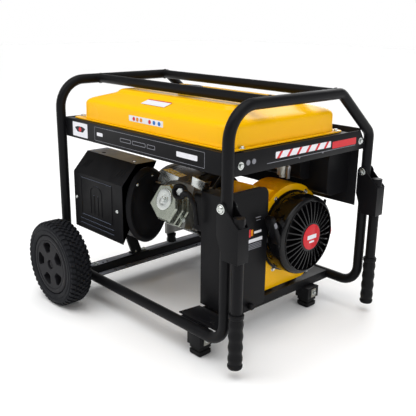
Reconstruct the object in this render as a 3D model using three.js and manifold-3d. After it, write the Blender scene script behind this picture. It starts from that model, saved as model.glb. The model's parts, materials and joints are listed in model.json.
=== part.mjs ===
// Open-frame portable generator, 5.5 kW class: bent tube frame on two wheels and two feet, with
// an inclined single-cylinder engine, a coaxial alternator, a tank above and two folding handles.
// Millimetres, +Z up, +X towards the recoil starter, -Y towards the cylinder head.
// Sizes are first given about the middle of the four posts, with z = 0 on the bottom rails' axis.

import * as THREE from 'three';
import { mergeVertices } from 'three/addons/utils/BufferGeometryUtils.js';
import Module from 'manifold-3d';

const wasm = await Module();
wasm.setup();

// ---- driving dimensions -------------------------------------------------------------------
const GAP = 0.3;                 // between pieces that touch
const RUN = 0.35;                // radial running clearance of a shaft in a bore
const SHEET = 2;                 // folded sheet steel

const SPAN_X = 650;              // post axis to post axis along the machine
const SPAN_Y = 514;              // post axis to post axis across it
const TOP_Z = 530;               // bottom rail axis to top bar axis
const TUBE_R = 13;               // frame tube
const GROUND_Z = -70;            // floor below the bottom rails' axis
const CORNER_BEND = 50;          // bend radius, bottom corners
const SLANT_BEND = 30;           // bend radius, slanted top corners
const HOOP_BEND = 75;            // bend radius, top corners on the cylinder side
const SLANT_Y = 133;             // slanted top corners on the panel side
const SLANT_Z = 109;
const SPLICE_Z = 300;            // where side tubes and hoops are joined, behind the brackets

const TOP_RAIL_R = 12;
const NEAR_TOP_RAIL_Y = -128;
const FAR_TOP_RAIL_Y = 107;

const CROSS_TOP_Z = 11;          // top face of the pressed cross rails
const CROSS_LOW_Z = -13;
const LEFT_CROSS_X = -240;
const RIGHT_CROSS_X = 199;
const RIGHT_CROSS_W = 60;

const WHEEL_R = 118;
const WHEEL_W = 66;
const WHEEL_X = -242;
const WHEEL_OUT = 77;            // middle of the tyre outside the posts' axis
const RIM_R = 82;                // where tyre and rim meet
const AXLE_R = 8;
const WHEEL_SIDES = 32;          // tyre and rim are faceted alike, so that they nest

const FOOT = 38;                 // square rubber foot
const FOOT_X = 228;
const NEAR_FOOT_Y = -239;
const FAR_FOOT_Y = 165;
const FOOT_TOP_Z = -42;

const BELT_LOW_Z = 381;          // sheet panels under the tank
const BELT_TOP_Z = 431;
const TANK = { x0: -262, x1: 300, y0: -228, y1: 147, z0: 434 };
const TANK_WALL_H = 48;          // upright sides
const TANK_CROWN_H = 80;         // whole height
const TANK_SKIN = 1.5;
const FILLER_R = 24;
const FILLER_X = -22;
const FILLER_Y = -52;
const COLLAR_H = 2;              // filler collar above the crown
const CAP_R = 33;
const CAP_H = 14;

const CRANK_Y = 88;              // crankshaft, alternator and recoil starter share this axis
const CRANK_Z = 165;
const TILT = THREE.MathUtils.degToRad(18.5);   // cylinder above the horizontal
const CYL_X = 40;
const HEAD_REACH = 256;          // crank axis to the valve cover joint
const COVER_DEPTH = 40;

const CASE = { x0: -38, x1: 118, half: 74, z0: 66, z1: 232 };
const MOUNT_X = 190;             // engine mounts on the right cross rail
const MOUNT_R = 16;
const ALT_MOUNT_Y = 70;
const SHAFT_R = 14;
const FAN_R = 92;
const SHROUD = { x0: 126, x1: 215, r: 125 };
const DUCT_X1 = 200;
const RECOIL_R = 105;
const RECOIL = { x0: 215 + GAP, x1: 292 };

const ALT_R = 94;
const ALT = { x0: -288, x1: -45 };
const BELL_LEN = 46;

const MUFFLER = { x0: -292, x1: -62, y: -158, z: 216, ry: 68, rz: 92 };
const SHIELD = { x0: -306, x1: -76, y: -238, z0: 120, z1: 280, zTop: 332, yTop: -190, yBack: -122 };

const GUARD = { x0: 163, x1: 233, y0: -181, y1: -19, z0: -4, z1: 308 };
const PANEL_IN = 13;             // control panel's outer face inside the posts' axis
const PANEL_LOW_Z = 224;
const OUTLET_Z = 336;

const PIVOT_Z = 319;             // folding handles
const HANDLE_OFFSET = 36;        // handle tube axis outside the post's axis
const HANDLE_R = 13;
const HANDLE_LOW_Z = -38;
const GRIP_R = 17.5;
const GRIP_LEN = 132;
const PIVOT_R = 5;

// ---- derived places --------------------------------------------------------------------------
const POST_X = SPAN_X / 2;
const POST_Y = SPAN_Y / 2;
const WHEEL_Y = POST_Y + WHEEL_OUT;
const PANEL_Y = POST_Y - PANEL_IN;
const WHEEL_Z = GROUND_Z + WHEEL_R;
const HANDLE_X = POST_X + HANDLE_OFFSET;
const CENTRE_X = (HANDLE_X + GRIP_R + WHEEL_X - WHEEL_R) / 2;

// ---- colours ---------------------------------------------------------------------------------
const BLACK_PAINT = { color: '#1c1c1e', roughness: 0.45, metalness: 0.1 };
const BLACK_PLASTIC = { color: '#17171a', roughness: 0.5, metalness: 0 };
const RUBBER = { color: '#1b1b1c', roughness: 0.85, metalness: 0 };
const YELLOW = { color: '#fecb00', roughness: 0.2, metalness: 0 };
const ZINC = { color: '#c9cbc8', roughness: 0.3, metalness: 1 };
const CAST = { color: '#8d8d8a', roughness: 0.6, metalness: 0.8 };
const STEEL = { color: '#9a9a9c', roughness: 0.35, metalness: 1 };
const COPPER = { color: '#9a5a35', roughness: 0.4, metalness: 0.9 };
const RED_PLASTIC = { color: '#c8191f', roughness: 0.4, metalness: 0 };

// ---- solids ----------------------------------------------------------------------------------
const generator = new THREE.Group();
const machine = new THREE.Group();
machine.position.set(-CENTRE_X, 0, -GROUND_Z);
generator.add(machine);

function toSolid(geometry) {
  const bare = geometry.clone();
  bare.deleteAttribute('normal');
  bare.deleteAttribute('uv');
  const merged = mergeVertices(bare, 1e-4);
  const mesh = new wasm.Mesh({
    numProp: 3,
    vertProperties: new Float32Array(merged.attributes.position.array),
    triVerts: new Uint32Array(merged.index.array),
  });
  return new wasm.Manifold(mesh);
}

function toGeometry(solid) {
  const { vertProperties, triVerts } = solid.getMesh();
  const geometry = new THREE.BufferGeometry();
  geometry.setAttribute('position', new THREE.BufferAttribute(new Float32Array(vertProperties), 3));
  geometry.setIndex(new THREE.BufferAttribute(new Uint32Array(triVerts), 1));
  geometry.computeVertexNormals();
  return geometry;
}

function combine(base, operation, others) {
  let solid = toSolid(base);
  for (const other of others) solid = solid[operation](toSolid(other));
  return toGeometry(solid);
}

const join = (base, ...others) => combine(base, 'add', others);
const cut = (base, ...others) => combine(base, 'subtract', others);

function add(name, geometry, finish, position = [0, 0, 0]) {
  const mesh = new THREE.Mesh(geometry, new THREE.MeshStandardMaterial(finish));
  mesh.name = name;
  mesh.position.set(...position);
  machine.add(mesh);
  return mesh;
}

// ---- outlines and basic shapes ---------------------------------------------------------------
const AXES = {
  x: [[0, 1, 0], [0, 0, 1], [1, 0, 0]],    // outline (y, z), depth along x
  y: [[1, 0, 0], [0, 0, 1], [0, -1, 0]],   // outline (x, z), depth along -y
  z: [[1, 0, 0], [0, 1, 0], [0, 0, 1]],    // outline (x, y), depth along z
};

function outline(points) {
  return new THREE.Shape(points.map(([u, v]) => new THREE.Vector2(u, v)));
}

function roundedRect(u0, v0, u1, v1, r) {
  const shape = new THREE.Shape();
  shape.moveTo(u0 + r, v0);
  shape.lineTo(u1 - r, v0);
  shape.absarc(u1 - r, v0 + r, r, -Math.PI / 2, 0);
  shape.lineTo(u1, v1 - r);
  shape.absarc(u1 - r, v1 - r, r, 0, Math.PI / 2);
  shape.lineTo(u0 + r, v1);
  shape.absarc(u0 + r, v1 - r, r, Math.PI / 2, Math.PI);
  shape.lineTo(u0, v0 + r);
  shape.absarc(u0 + r, v0 + r, r, Math.PI, Math.PI * 1.5);
  return shape;
}

// An outline pushed through along one axis, from the lower to the higher coordinate.
function prism(axis, shape, low, high, curveSegments = 4) {
  const geometry = new THREE.ExtrudeGeometry(shape, {
    depth: high - low, bevelEnabled: false, curveSegments, steps: 1,
  });
  const [u, v, w] = AXES[axis].map((a) => new THREE.Vector3(...a));
  geometry.applyMatrix4(new THREE.Matrix4().makeBasis(u, v, w));
  const start = axis === 'y' ? high : low;
  const shift = w.clone().multiplyScalar(start * (axis === 'y' ? -1 : 1));
  return geometry.translate(shift.x, shift.y, shift.z);
}

function block(x0, x1, y0, y1, z0, z1) {
  const geometry = new THREE.BoxGeometry(x1 - x0, y1 - y0, z1 - z0);
  return geometry.translate((x0 + x1) / 2, (y0 + y1) / 2, (z0 + z1) / 2);
}

// A round bar along an axis, given by its radius, its ends and the other two coordinates.
function bar(axis, radius, low, high, a, b, sides = 16) {
  const geometry = new THREE.CylinderGeometry(radius, radius, high - low, sides);
  const middle = (low + high) / 2;
  if (axis === 'x') return geometry.rotateZ(Math.PI / 2).translate(middle, a, b);
  if (axis === 'y') return geometry.translate(a, middle, b);
  return geometry.rotateX(Math.PI / 2).translate(a, b, middle);
}

// A turned shape about an axis: profile points are [radius, place along the axis], either way round.
function turned(axis, profile, a, b, segments = 32) {
  const points = profile.map(([r, h]) => new THREE.Vector2(r, h));
  if (THREE.ShapeUtils.area(points) < 0) points.reverse();
  const geometry = new THREE.LatheGeometry(points, segments);
  if (axis === 'x') return geometry.rotateZ(-Math.PI / 2).translate(0, a, b);
  if (axis === 'y') return geometry.translate(a, 0, b);
  return geometry.rotateX(Math.PI / 2).translate(a, b, 0);
}

// Rings of equal count joined one above the other, closed by flat ends.
function loft(rings) {
  const count = rings[0].length;
  const triangles = [];
  rings.slice(1).forEach((upper, k) => {
    const lower = rings[k];
    for (let i = 0; i < count; i += 1) {
      const j = (i + 1) % count;
      triangles.push(lower[i], lower[j], upper[j], lower[i], upper[j], upper[i]);
    }
  });
  const first = rings[0];
  const last = rings[rings.length - 1];
  for (let i = 1; i < count - 1; i += 1) {
    triangles.push(first[0], first[i + 1], first[i], last[0], last[i], last[i + 1]);
  }
  const geometry = new THREE.BufferGeometry();
  geometry.setAttribute('position', new THREE.Float32BufferAttribute(triangles.flat(), 3));
  return geometry;
}

// The path of a bent tube: straight runs between corners, each corner rounded by its radius.
class BentPath extends THREE.Curve {
  constructor(corners, radii, arcSteps = 5) {
    super();
    this.stations = [];
    const points = corners.map((c) => new THREE.Vector3(...c));
    const last = points.length - 1;
    this.keep(points[0], points[1].clone().sub(points[0]));
    for (let i = 1; i < last; i += 1) {
      this.bend(points[i - 1], points[i], points[i + 1], radii[i - 1], arcSteps);
    }
    this.keep(points[last], points[last].clone().sub(points[last - 1]));
  }

  keep(point, direction) {
    this.stations.push({ point: point.clone(), tangent: direction.clone().normalize() });
  }

  bend(before, corner, after, radius, arcSteps) {
    const entry = corner.clone().sub(before).normalize();
    const exit = after.clone().sub(corner).normalize();
    const angle = entry.angleTo(exit);
    const start = corner.clone().addScaledVector(entry, -radius * Math.tan(angle / 2));
    const side = exit.clone().addScaledVector(entry, -exit.dot(entry)).normalize();
    for (let s = 0; s <= arcSteps; s += 1) {
      const t = (angle * s) / arcSteps;
      const point = start.clone()
        .addScaledVector(entry, radius * Math.sin(t))
        .addScaledVector(side, radius * (1 - Math.cos(t)));
      const tangent = entry.clone().multiplyScalar(Math.cos(t)).addScaledVector(side, Math.sin(t));
      this.keep(point, tangent);
    }
  }

  station(u) {
    return this.stations[Math.round(u * (this.stations.length - 1))];
  }

  getPoint(u, target = new THREE.Vector3()) { return target.copy(this.station(u).point); }

  getPointAt(u, target = new THREE.Vector3()) { return this.getPoint(u, target); }

  getTangentAt(u, target = new THREE.Vector3()) { return target.copy(this.station(u).tangent); }

  getSpacedPoints() { return this.stations.map((s) => s.point.clone()); }
}

function ring(radius, sides) {
  const points = [];
  for (let i = 0; i < sides; i += 1) {
    const t = (2 * Math.PI * i) / sides;
    points.push([radius * Math.cos(t), radius * Math.sin(t)]);
  }
  return outline(points);
}

function bentTube(corners, radii, radius, sides = 12, arcSteps = 5) {
  const path = new BentPath(corners, radii, arcSteps);
  return new THREE.ExtrudeGeometry(ring(radius, sides), {
    steps: path.stations.length - 1, extrudePath: path, bevelEnabled: false,
  });
}

// ---- frame -----------------------------------------------------------------------------------
function sideTube(side) {
  const y = side * POST_Y;
  return bentTube(
    [[-POST_X, y, SPLICE_Z], [-POST_X, y, 0], [POST_X, y, 0], [POST_X, y, SPLICE_Z]],
    [CORNER_BEND, CORNER_BEND], TUBE_R,
  );
}

function hoopTube(x) {
  const start = SPLICE_Z + GAP;
  const hoop = bentTube(
    [
      [x, -POST_Y, start], [x, -POST_Y, TOP_Z], [x, POST_Y - SLANT_Y, TOP_Z],
      [x, POST_Y, TOP_Z - SLANT_Z], [x, POST_Y, start],
    ],
    [HOOP_BEND, SLANT_BEND, SLANT_BEND], TUBE_R,
  );
  if (x < 0) return hoop;
  const holes = [-POST_Y, POST_Y].map(
    (y) => bar('y', PIVOT_R + GAP, y - 2 * TUBE_R, y + 2 * TUBE_R, x, PIVOT_Z),
  );
  return cut(hoop, ...holes);
}

function topRail(y) {
  const saddle = TUBE_R + GAP;
  const rail = bar('x', TOP_RAIL_R, -POST_X, POST_X, y, TOP_Z);
  const ends = [-POST_X, POST_X].map(
    (x) => bar('y', saddle, y - 3 * TUBE_R, y + 3 * TUBE_R, x, TOP_Z, 24),
  );
  return cut(rail, ...ends);
}

// Bottom rails as cutters, so that what meets them is saddled round them.
function bottomRailCutters() {
  return [-POST_Y, POST_Y].map(
    (y) => bar('x', TUBE_R + GAP, -POST_X, POST_X, y, 0, 24),
  );
}

function leftCrossRail() {
  const top = 16;
  const lip = 34;
  const t = 3;
  const section = outline([
    [LEFT_CROSS_X - lip, CROSS_LOW_Z], [LEFT_CROSS_X - top, CROSS_LOW_Z],
    [LEFT_CROSS_X - top, CROSS_TOP_Z - t], [LEFT_CROSS_X + top - t, CROSS_TOP_Z - t],
    [LEFT_CROSS_X + top - t, CROSS_LOW_Z], [LEFT_CROSS_X + lip, CROSS_LOW_Z],
    [LEFT_CROSS_X + lip, CROSS_LOW_Z + t], [LEFT_CROSS_X + top, CROSS_LOW_Z + t],
    [LEFT_CROSS_X + top, CROSS_TOP_Z], [LEFT_CROSS_X - top - t, CROSS_TOP_Z],
    [LEFT_CROSS_X - top - t, CROSS_LOW_Z + t], [LEFT_CROSS_X - lip, CROSS_LOW_Z + t],
  ]);
  return cut(prism('y', section, -POST_Y, POST_Y), ...bottomRailCutters());
}

function footBracket(y) {
  const half = FOOT / 2 + 3;
  return block(FOOT_X - half, FOOT_X + half, y - half, y + half, FOOT_TOP_Z, CROSS_LOW_Z + 2);
}

function rightCrossRail() {
  const half = RIGHT_CROSS_W / 2;
  const t = 3;
  const lip = 12;
  const u0 = RIGHT_CROSS_X - half;
  const u1 = RIGHT_CROSS_X + half;
  const section = outline([
    [u0, CROSS_LOW_Z], [u0 + lip, CROSS_LOW_Z], [u0 + lip, CROSS_LOW_Z + t],
    [u0 + t, CROSS_LOW_Z + t], [u0 + t, CROSS_TOP_Z - t], [u1 - t, CROSS_TOP_Z - t],
    [u1 - t, CROSS_LOW_Z + t], [u1 - lip, CROSS_LOW_Z + t], [u1 - lip, CROSS_LOW_Z],
    [u1, CROSS_LOW_Z], [u1, CROSS_TOP_Z], [u0, CROSS_TOP_Z],
  ]);
  const rail = join(
    prism('y', section, -POST_Y, POST_Y), footBracket(NEAR_FOOT_Y), footBracket(FAR_FOOT_Y),
  );
  return cut(rail, ...bottomRailCutters());
}

function cornerPlate() {
  const z = CROSS_TOP_Z + GAP;
  const edge = -POST_Y + TUBE_R + 2 * GAP;
  const shape = outline([[155, edge], [296, edge], [296, -205], [262, -183], [163, -183]]);
  const hole = bar('z', 5, z - 1, z + 5, 250, -222, 12);
  return cut(prism('z', shape, z, z + 3), hole);
}

function buildFrame() {
  add('near_side_tube', sideTube(-1), BLACK_PAINT);
  add('far_side_tube', sideTube(1), BLACK_PAINT);
  add('left_hoop_tube', hoopTube(-POST_X), BLACK_PAINT);
  add('right_hoop_tube', hoopTube(POST_X), BLACK_PAINT);
  add('near_top_rail', topRail(NEAR_TOP_RAIL_Y), BLACK_PAINT);
  add('far_top_rail', topRail(FAR_TOP_RAIL_Y), BLACK_PAINT);
  add('left_cross_rail', leftCrossRail(), BLACK_PAINT);
  add('right_cross_rail', rightCrossRail(), BLACK_PAINT);
  add('corner_plate', cornerPlate(), BLACK_PAINT);
}

function buildFeet() {
  const half = FOOT / 2;
  for (const [name, y] of [['near_foot', NEAR_FOOT_Y], ['far_foot', FAR_FOOT_Y]]) {
    const shape = roundedRect(FOOT_X - half, y - half, FOOT_X + half, y + half, 3);
    add(name, prism('z', shape, GROUND_Z, FOOT_TOP_Z - GAP, 2), RUBBER);
  }
}

// ---- sheet panels under the tank -------------------------------------------------------------
const BELT_SIDE = POST_Y - 6;    // outer face, along the machine
const BELT_END = POST_X;         // outer face, across it

function nearBelt() {
  const end = POST_X - TUBE_R - GAP;
  const face = block(-end, end, -BELT_SIDE, -BELT_SIDE + SHEET, BELT_LOW_Z, BELT_TOP_Z);
  const shelf = block(-end, end, -BELT_SIDE, TANK.y0, BELT_TOP_Z - SHEET, BELT_TOP_Z);
  return join(face, shelf);
}

function endBelt(side) {
  const end = POST_Y - TUBE_R - GAP;
  const outer = side * BELT_END;
  const low = Math.min(outer, outer - side * SHEET);
  const cutBack = 26;            // far corner cleared for the slanted hoop
  const face = prism('x', outline([
    [-end, BELT_LOW_Z], [end, BELT_LOW_Z], [end, BELT_LOW_Z + 12],
    [end - cutBack, BELT_TOP_Z], [-end, BELT_TOP_Z],
  ]), low, low + SHEET);
  const lip = block(
    Math.min(outer, outer - side * 22), Math.max(outer, outer - side * 22),
    TANK.y0 + 20, end - 3 * cutBack, BELT_TOP_Z - SHEET, BELT_TOP_Z,
  );
  return join(face, lip);
}

function buildBelts() {
  add('near_belt_panel', nearBelt(), BLACK_PAINT);
  add('left_belt_panel', endBelt(-1), BLACK_PAINT);
  add('right_belt_panel', endBelt(1), BLACK_PAINT);
}

// ---- fuel tank -------------------------------------------------------------------------------
function tankRing(inset, z, corner, shrink = 0) {
  const d = inset + shrink;
  const shape = roundedRect(TANK.x0 + d, TANK.y0 + d, TANK.x1 - d, TANK.y1 - d, corner);
  return shape.getPoints(3).slice(0, -1).map((p) => [p.x, p.y, z]);
}

function tankBody(shrink) {
  const z = TANK.z0;
  const top = z + TANK_CROWN_H - shrink;
  return loft([
    tankRing(0, z + shrink, 26 - shrink, shrink),
    tankRing(0, z + TANK_WALL_H - shrink, 26 - shrink, shrink),
    tankRing(12, z + TANK_WALL_H + 14 - shrink, 26 - shrink, shrink),
    tankRing(62, top - 6, 22, shrink),
    tankRing(70, top, 20, shrink),
  ]);
}

function buildTank() {
  const top = TANK.z0 + TANK_CROWN_H;
  const flange = prism(
    'z', roundedRect(TANK.x0 - 30, TANK.y0 - 10, TANK.x1 + 14, TANK.y1 + 10, 12),
    TANK.z0 - SHEET, TANK.z0 + TANK_SKIN, 2,
  );
  const inner = tankBody(TANK_SKIN);
  const filler = bar('z', FILLER_R, top - 20, top + 20, FILLER_X, FILLER_Y, 20);
  const collar = bar('z', FILLER_R + 4, top - 10, top + COLLAR_H, FILLER_X, FILLER_Y, 20);
  add('fuel_tank', cut(join(tankBody(0), flange, collar), inner, filler), YELLOW);
  const rim = top + COLLAR_H + GAP;
  const cap = turned('z', [
    [0, rim], [CAP_R, rim], [CAP_R, rim + CAP_H - 3], [CAP_R - 4, rim + CAP_H], [0, rim + CAP_H],
  ], FILLER_X, FILLER_Y, 24);
  add('fuel_cap', cap, BLACK_PLASTIC);
}

function buildFuelLine() {
  const x = 205;
  const y = 62;
  const top = TANK.z0 - SHEET - GAP;
  const neck = bar('z', 9, 352, top, x, y, 12);
  const bowl = bar('z', 14, 318, 352.5, x, y, 12);
  const nut = bar('z', 13, 356, 364, x, y, 6);
  const spout = bar('x', 5, x - 34, x, y, 334, 10);
  add('fuel_valve', join(neck, bowl, nut, spout), ZINC);
  const lever = join(
    bar('x', 6, x + 14 + GAP, x + 22, y, 338, 12),
    block(x + 16, x + 22, y - 5, y + 5, 310, 338),
  );
  add('fuel_valve_lever', lever, STEEL);
}

// ---- engine ----------------------------------------------------------------------------------
// Shapes of the inclined cylinder are made lying along -Y from the crank axis, then turned up.
function tilted(geometry) {
  return geometry.rotateX(-TILT).translate(0, CRANK_Y, CRANK_Z);
}

function crankcase() {
  const y0 = CRANK_Y - CASE.half;
  const y1 = CRANK_Y + CASE.half;
  const body = prism('x', roundedRect(y0, CASE.z0, y1, CASE.z1, 22), CASE.x0, CASE.x1);
  const sump = block(CASE.x0 + 12, MOUNT_X + MOUNT_R, y0 + 6, y1 - 6, CASE.z0 - 18, CASE.z0 + 1);
  const neck = tilted(block(CYL_X - 48, CYL_X + 48, -92, -20, -50, 50));
  const hollow = block(CASE.x0 + 8, CASE.x1 - 8, y0 + 8, y1 - 8, CASE.z0 + 8, CASE.z1 - 8);
  const bore = bar('x', SHAFT_R + RUN, CASE.x0 - 5, CASE.x1 + 5, CRANK_Y, CRANK_Z, 20);
  return cut(join(body, sump, neck), hollow, bore);
}

function finnedCylinder() {
  const start = -92 - GAP;
  const end = -HEAD_REACH;
  const fin = 3.5;
  const pitch = 12;
  const points = [[start, 40]];
  for (let s = start - 6; s - fin > end + 22; s -= pitch) {
    points.push([s, 40], [s, 56], [s - fin, 56], [s - fin, 40]);
  }
  points.push([end + 20, 40], [end + 20, 54], [end, 54]);
  const lower = points.map(([s, h]) => [s, -h]).reverse();
  const shape = outline([...points, ...lower]);
  const body = tilted(prism('x', shape, CYL_X - 52, CYL_X + 52));
  const hollow = tilted(bar('y', 34, end + 30, start + 1, CYL_X, 0, 20));
  return cut(body, hollow);
}

// The pressed cover over the valves: a wide flange, then a stepped, six-sided dome.
function valveCover() {
  const hexagon = (h, w, reach, lean) => [
    [-0.15 * w, h], [0.75 * w, 0.62 * h], [w, -0.25 * h], [0.35 * w, -h],
    [-0.55 * w, -0.8 * h], [-w, 0.05 * h],
  ].map(([x, z]) => [CYL_X + x, -reach, z + lean]);
  const start = HEAD_REACH + GAP;
  const rings = [
    hexagon(62, 56, start, 0), hexagon(62, 56, start + 4, 0), hexagon(55, 50, start + 5, 0),
    hexagon(52, 47, start + COVER_DEPTH - 6, 0), hexagon(46, 41, start + COVER_DEPTH, 0),
  ];
  const boss = bar('y', 27, -(start + COVER_DEPTH + 3), -(start + 20), CYL_X, 4, 24);
  const bolt = bar('y', 7, -(start + COVER_DEPTH + 11), -(start + COVER_DEPTH), CYL_X, 4, 6);
  return tilted(join(loft(rings.map((r) => r.reverse())), boss, bolt));
}

function buildEngineBlock() {
  add('crankcase', crankcase(), CAST);
  add('cylinder', finnedCylinder(), CAST);
  add('valve_cover', valveCover(), ZINC);
  const lead = bentTube(
    [[96, -174, 292], [128, -198, 302], [160, -202, 270], [164, -202, 222]], [16, 16], 6, 8, 4,
  );
  add('spark_plug_lead', lead, RUBBER);
}

function buildIntake() {
  const y = -124;
  const z = 246;
  const body = join(
    block(CYL_X + 52 + GAP, 128, y - 20, y + 20, z - 26, z + 20),
    bar('z', 16, z - 58, z - 25, 109, y, 16),
  );
  add('carburettor', body, CAST);
  const cleaner = prism('x', roundedRect(y - 50, z - 45, y + 14, z + 50, 8), 128 + GAP, 226, 3);
  add('air_cleaner', cleaner, BLACK_PLASTIC);
}

// ---- rotating assembly -----------------------------------------------------------------------
function buildRotor() {
  const webs = [14, 54].map((x) => bar('x', 52, x, x + 12, CRANK_Y, CRANK_Z, 20));
  const pin = bar('x', 14, 20, 60, CRANK_Y - 28, CRANK_Z, 12);
  const leftShaft = bar('x', SHAFT_R, CASE.x0 - 6, 20, CRANK_Y, CRANK_Z, 20);
  const rightShaft = bar('x', SHAFT_R, 60, 130, CRANK_Y, CRANK_Z, 20);
  add('crankshaft', join(webs[0], webs[1], pin, leftShaft, rightShaft), STEEL);
  const vanes = [];
  const vaneCount = 12;
  for (let i = 0; i < vaneCount; i += 1) {
    const vane = block(0, 26, -2, 2, 46, FAN_R - 2).rotateX((2 * Math.PI * i) / vaneCount);
    vanes.push(vane.translate(161, CRANK_Y, CRANK_Z));
  }
  const disc = turned('x', [
    [0, 130 + GAP], [FAN_R - 16, 130 + GAP], [FAN_R, 140], [FAN_R, 160], [FAN_R - 4, 162],
    [40, 162], [36, 170], [0, 170],
  ], CRANK_Y, CRANK_Z, 24);
  add('flywheel_fan', join(disc, ...vanes), CAST);
  const rotor = turned('x', [
    [0, ALT.x0 + 12], [10, ALT.x0 + 12], [10, ALT.x0 + 40], [56, ALT.x0 + 40],
    [56, ALT.x1 - 60], [SHAFT_R, ALT.x1 - 60], [SHAFT_R, CASE.x0 - 6 - GAP],
    [0, CASE.x0 - 6 - GAP],
  ], CRANK_Y, CRANK_Z, 24);
  add('alternator_rotor', rotor, COPPER);
}

// ---- alternator ------------------------------------------------------------------------------
function buildAlternator() {
  const split = ALT.x0 + BELL_LEN;
  const stator = turned('x', [
    [58, split + GAP], [ALT_R - 4, split + GAP], [ALT_R, split + 6], [ALT_R, ALT.x1 - 20],
    [ALT_R + 8, ALT.x1 - 16], [ALT_R + 8, ALT.x1 - 2], [40, ALT.x1 - 2], [40, ALT.x1 - 12],
    [58, ALT.x1 - 16], [58, split + GAP],
  ], CRANK_Y, CRANK_Z, 28);
  add('alternator_stator', stator, BLACK_PAINT);
  const shell = turned('x', [
    [10 + RUN, ALT.x0], [50, ALT.x0], [78, ALT.x0 + 8], [ALT_R, ALT.x0 + 24], [ALT_R, split],
    [ALT_R - 6, split], [ALT_R - 6, ALT.x0 + 28], [60, ALT.x0 + 16], [10 + RUN, ALT.x0 + 14],
    [10 + RUN, ALT.x0],
  ], CRANK_Y, CRANK_Z, 28);
  const leg = block(ALT.x0 + 34, split, CRANK_Y - 38, CRANK_Y + 38, 42, CRANK_Z - ALT_R + 12);
  add('alternator_end_bell', join(shell, leg), BLACK_PAINT);
}

// ---- rubber mounts ---------------------------------------------------------------------------
function mount(name, x, y, top, radius) {
  const low = CROSS_TOP_Z + GAP;
  const profile = [
    [0, low], [radius * 0.5, low], [radius * 0.5, low + 8], [radius, low + 10],
    [radius, top - GAP - 3], [radius - 3, top - GAP], [0, top - GAP],
  ];
  add(name, turned('z', profile, x, y, 16), RUBBER);
}

function buildMounts() {
  const engineTop = CASE.z0 - 18;
  mount('alternator_mount', LEFT_CROSS_X - 6, ALT_MOUNT_Y, 42, 15);
  mount('engine_mount_near', MOUNT_X, CRANK_Y - 50, engineTop, MOUNT_R);
  mount('engine_mount_far', MOUNT_X, CRANK_Y + 50, engineTop, MOUNT_R);
}

// ---- cooling shroud and recoil starter -------------------------------------------------------
function shroudOutline(grow, drop) {
  const circle = new THREE.Shape();
  circle.absarc(CRANK_Y, CRANK_Z, SHROUD.r + grow, 0, 2 * Math.PI);
  const lower = roundedRect(-38 - grow, 16 - drop, 178 + grow, CRANK_Z, 34);
  return { circle, lower };
}

function ductSolid(grow, x0, x1) {
  return tilted(block(x0, x1, -165 - grow, -20, -58 - grow, 92 + grow));
}

function buildShroud() {
  const { x0, x1 } = SHROUD;
  const outer = shroudOutline(0, 0);
  const inner = shroudOutline(-SHEET, 40);      // open underneath
  const skin = join(
    prism('x', outer.circle, x0, x1, 18), prism('x', outer.lower, x0, x1, 4),
    ductSolid(0, x0, DUCT_X1),
  );
  const roomDepth = x1 - SHEET;
  const cavity = [
    prism('x', inner.circle, x0 - 5, roomDepth, 18), prism('x', inner.lower, x0 - 5, roomDepth, 4),
    ductSolid(-SHEET, x0 - 5, DUCT_X1 - SHEET),
  ];
  const mouth = bar('x', 84, x1 - 20, x1 + 5, CRANK_Y, CRANK_Z, 32);
  add('fan_shroud', cut(skin, ...cavity, mouth), YELLOW);
}

const PULL_TILT = THREE.MathUtils.degToRad(25);   // the rope leaves sideways and down
const GRIP_Z = CRANK_Z + 40;

function buildRecoil() {
  const { x0, x1 } = RECOIL;
  const wall = 2.5;
  const shell = turned('x', [
    [86, x0], [RECOIL_R, x0], [RECOIL_R, x1 - 22], [RECOIL_R - 8, x1 - 10], [RECOIL_R - 22, x1 - 4],
    [34, x1], [0, x1], [0, x1 - wall], [34, x1 - wall], [RECOIL_R - 24, x1 - 4 - wall],
    [RECOIL_R - 10, x1 - 12], [RECOIL_R - wall, x1 - 24], [RECOIL_R - wall, x0 + wall],
    [86, x0 + wall], [86, x0],
  ], CRANK_Y, CRANK_Z, 32);
  const slots = [];
  const slotCount = 12;
  for (let i = 0; i < slotCount; i += 1) {
    const slot = block(x1 - 14, x1 + 4, -2.5, 2.5, 44, 78);
    slots.push(slot.rotateX((2 * Math.PI * i) / slotCount).translate(0, CRANK_Y, CRANK_Z));
  }
  const gripX = x1 - 46;
  const gripY = CRANK_Y - RECOIL_R - 16;
  const aim = (piece) => piece.rotateX(PULL_TILT).translate(gripX, gripY, GRIP_Z);
  const ropeHole = aim(bar('y', 7, -20, 52, 0, 0, 12));
  add('recoil_housing', cut(shell, ...slots, ropeHole), BLACK_PLASTIC);
  const pulley = turned('x', [
    [12, x0 + 12], [62, x0 + 12], [64, x0 + 14], [56, x0 + 20], [64, x0 + 26], [62, x0 + 28],
    [12, x0 + 28], [12, x0 + 12],
  ], CRANK_Y, CRANK_Z, 20);
  add('recoil_pulley', pulley, BLACK_PLASTIC);
  const handle = prism('y', roundedRect(-9, -42, 9, 42, 8), -14, -2, 3);
  const stem = bar('y', 5.5, -4, 32, 0, 0, 12);
  add('pull_grip', aim(join(handle, stem)), BLACK_PLASTIC);
}

function buildEngineSwitch() {
  const y = CRANK_Y + SHROUD.r + 3;
  add('engine_switch_box', block(200, 236, y, y + 22, 118, 160), BLACK_PLASTIC);
  const rocker = join(
    bar('y', 6, y + 5, y + 17, 242 + GAP, 139, 12),
    block(242, 247, y + 5, y + 17, 129, 149),
  );
  add('engine_switch_rocker', rocker, RED_PLASTIC);
}

// ---- exhaust ---------------------------------------------------------------------------------
function oval(profile) {
  const geometry = turned('x', profile, 0, 0, 24);
  return geometry.scale(1, MUFFLER.ry / MUFFLER.rz, 1).translate(0, MUFFLER.y, MUFFLER.z);
}

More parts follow.
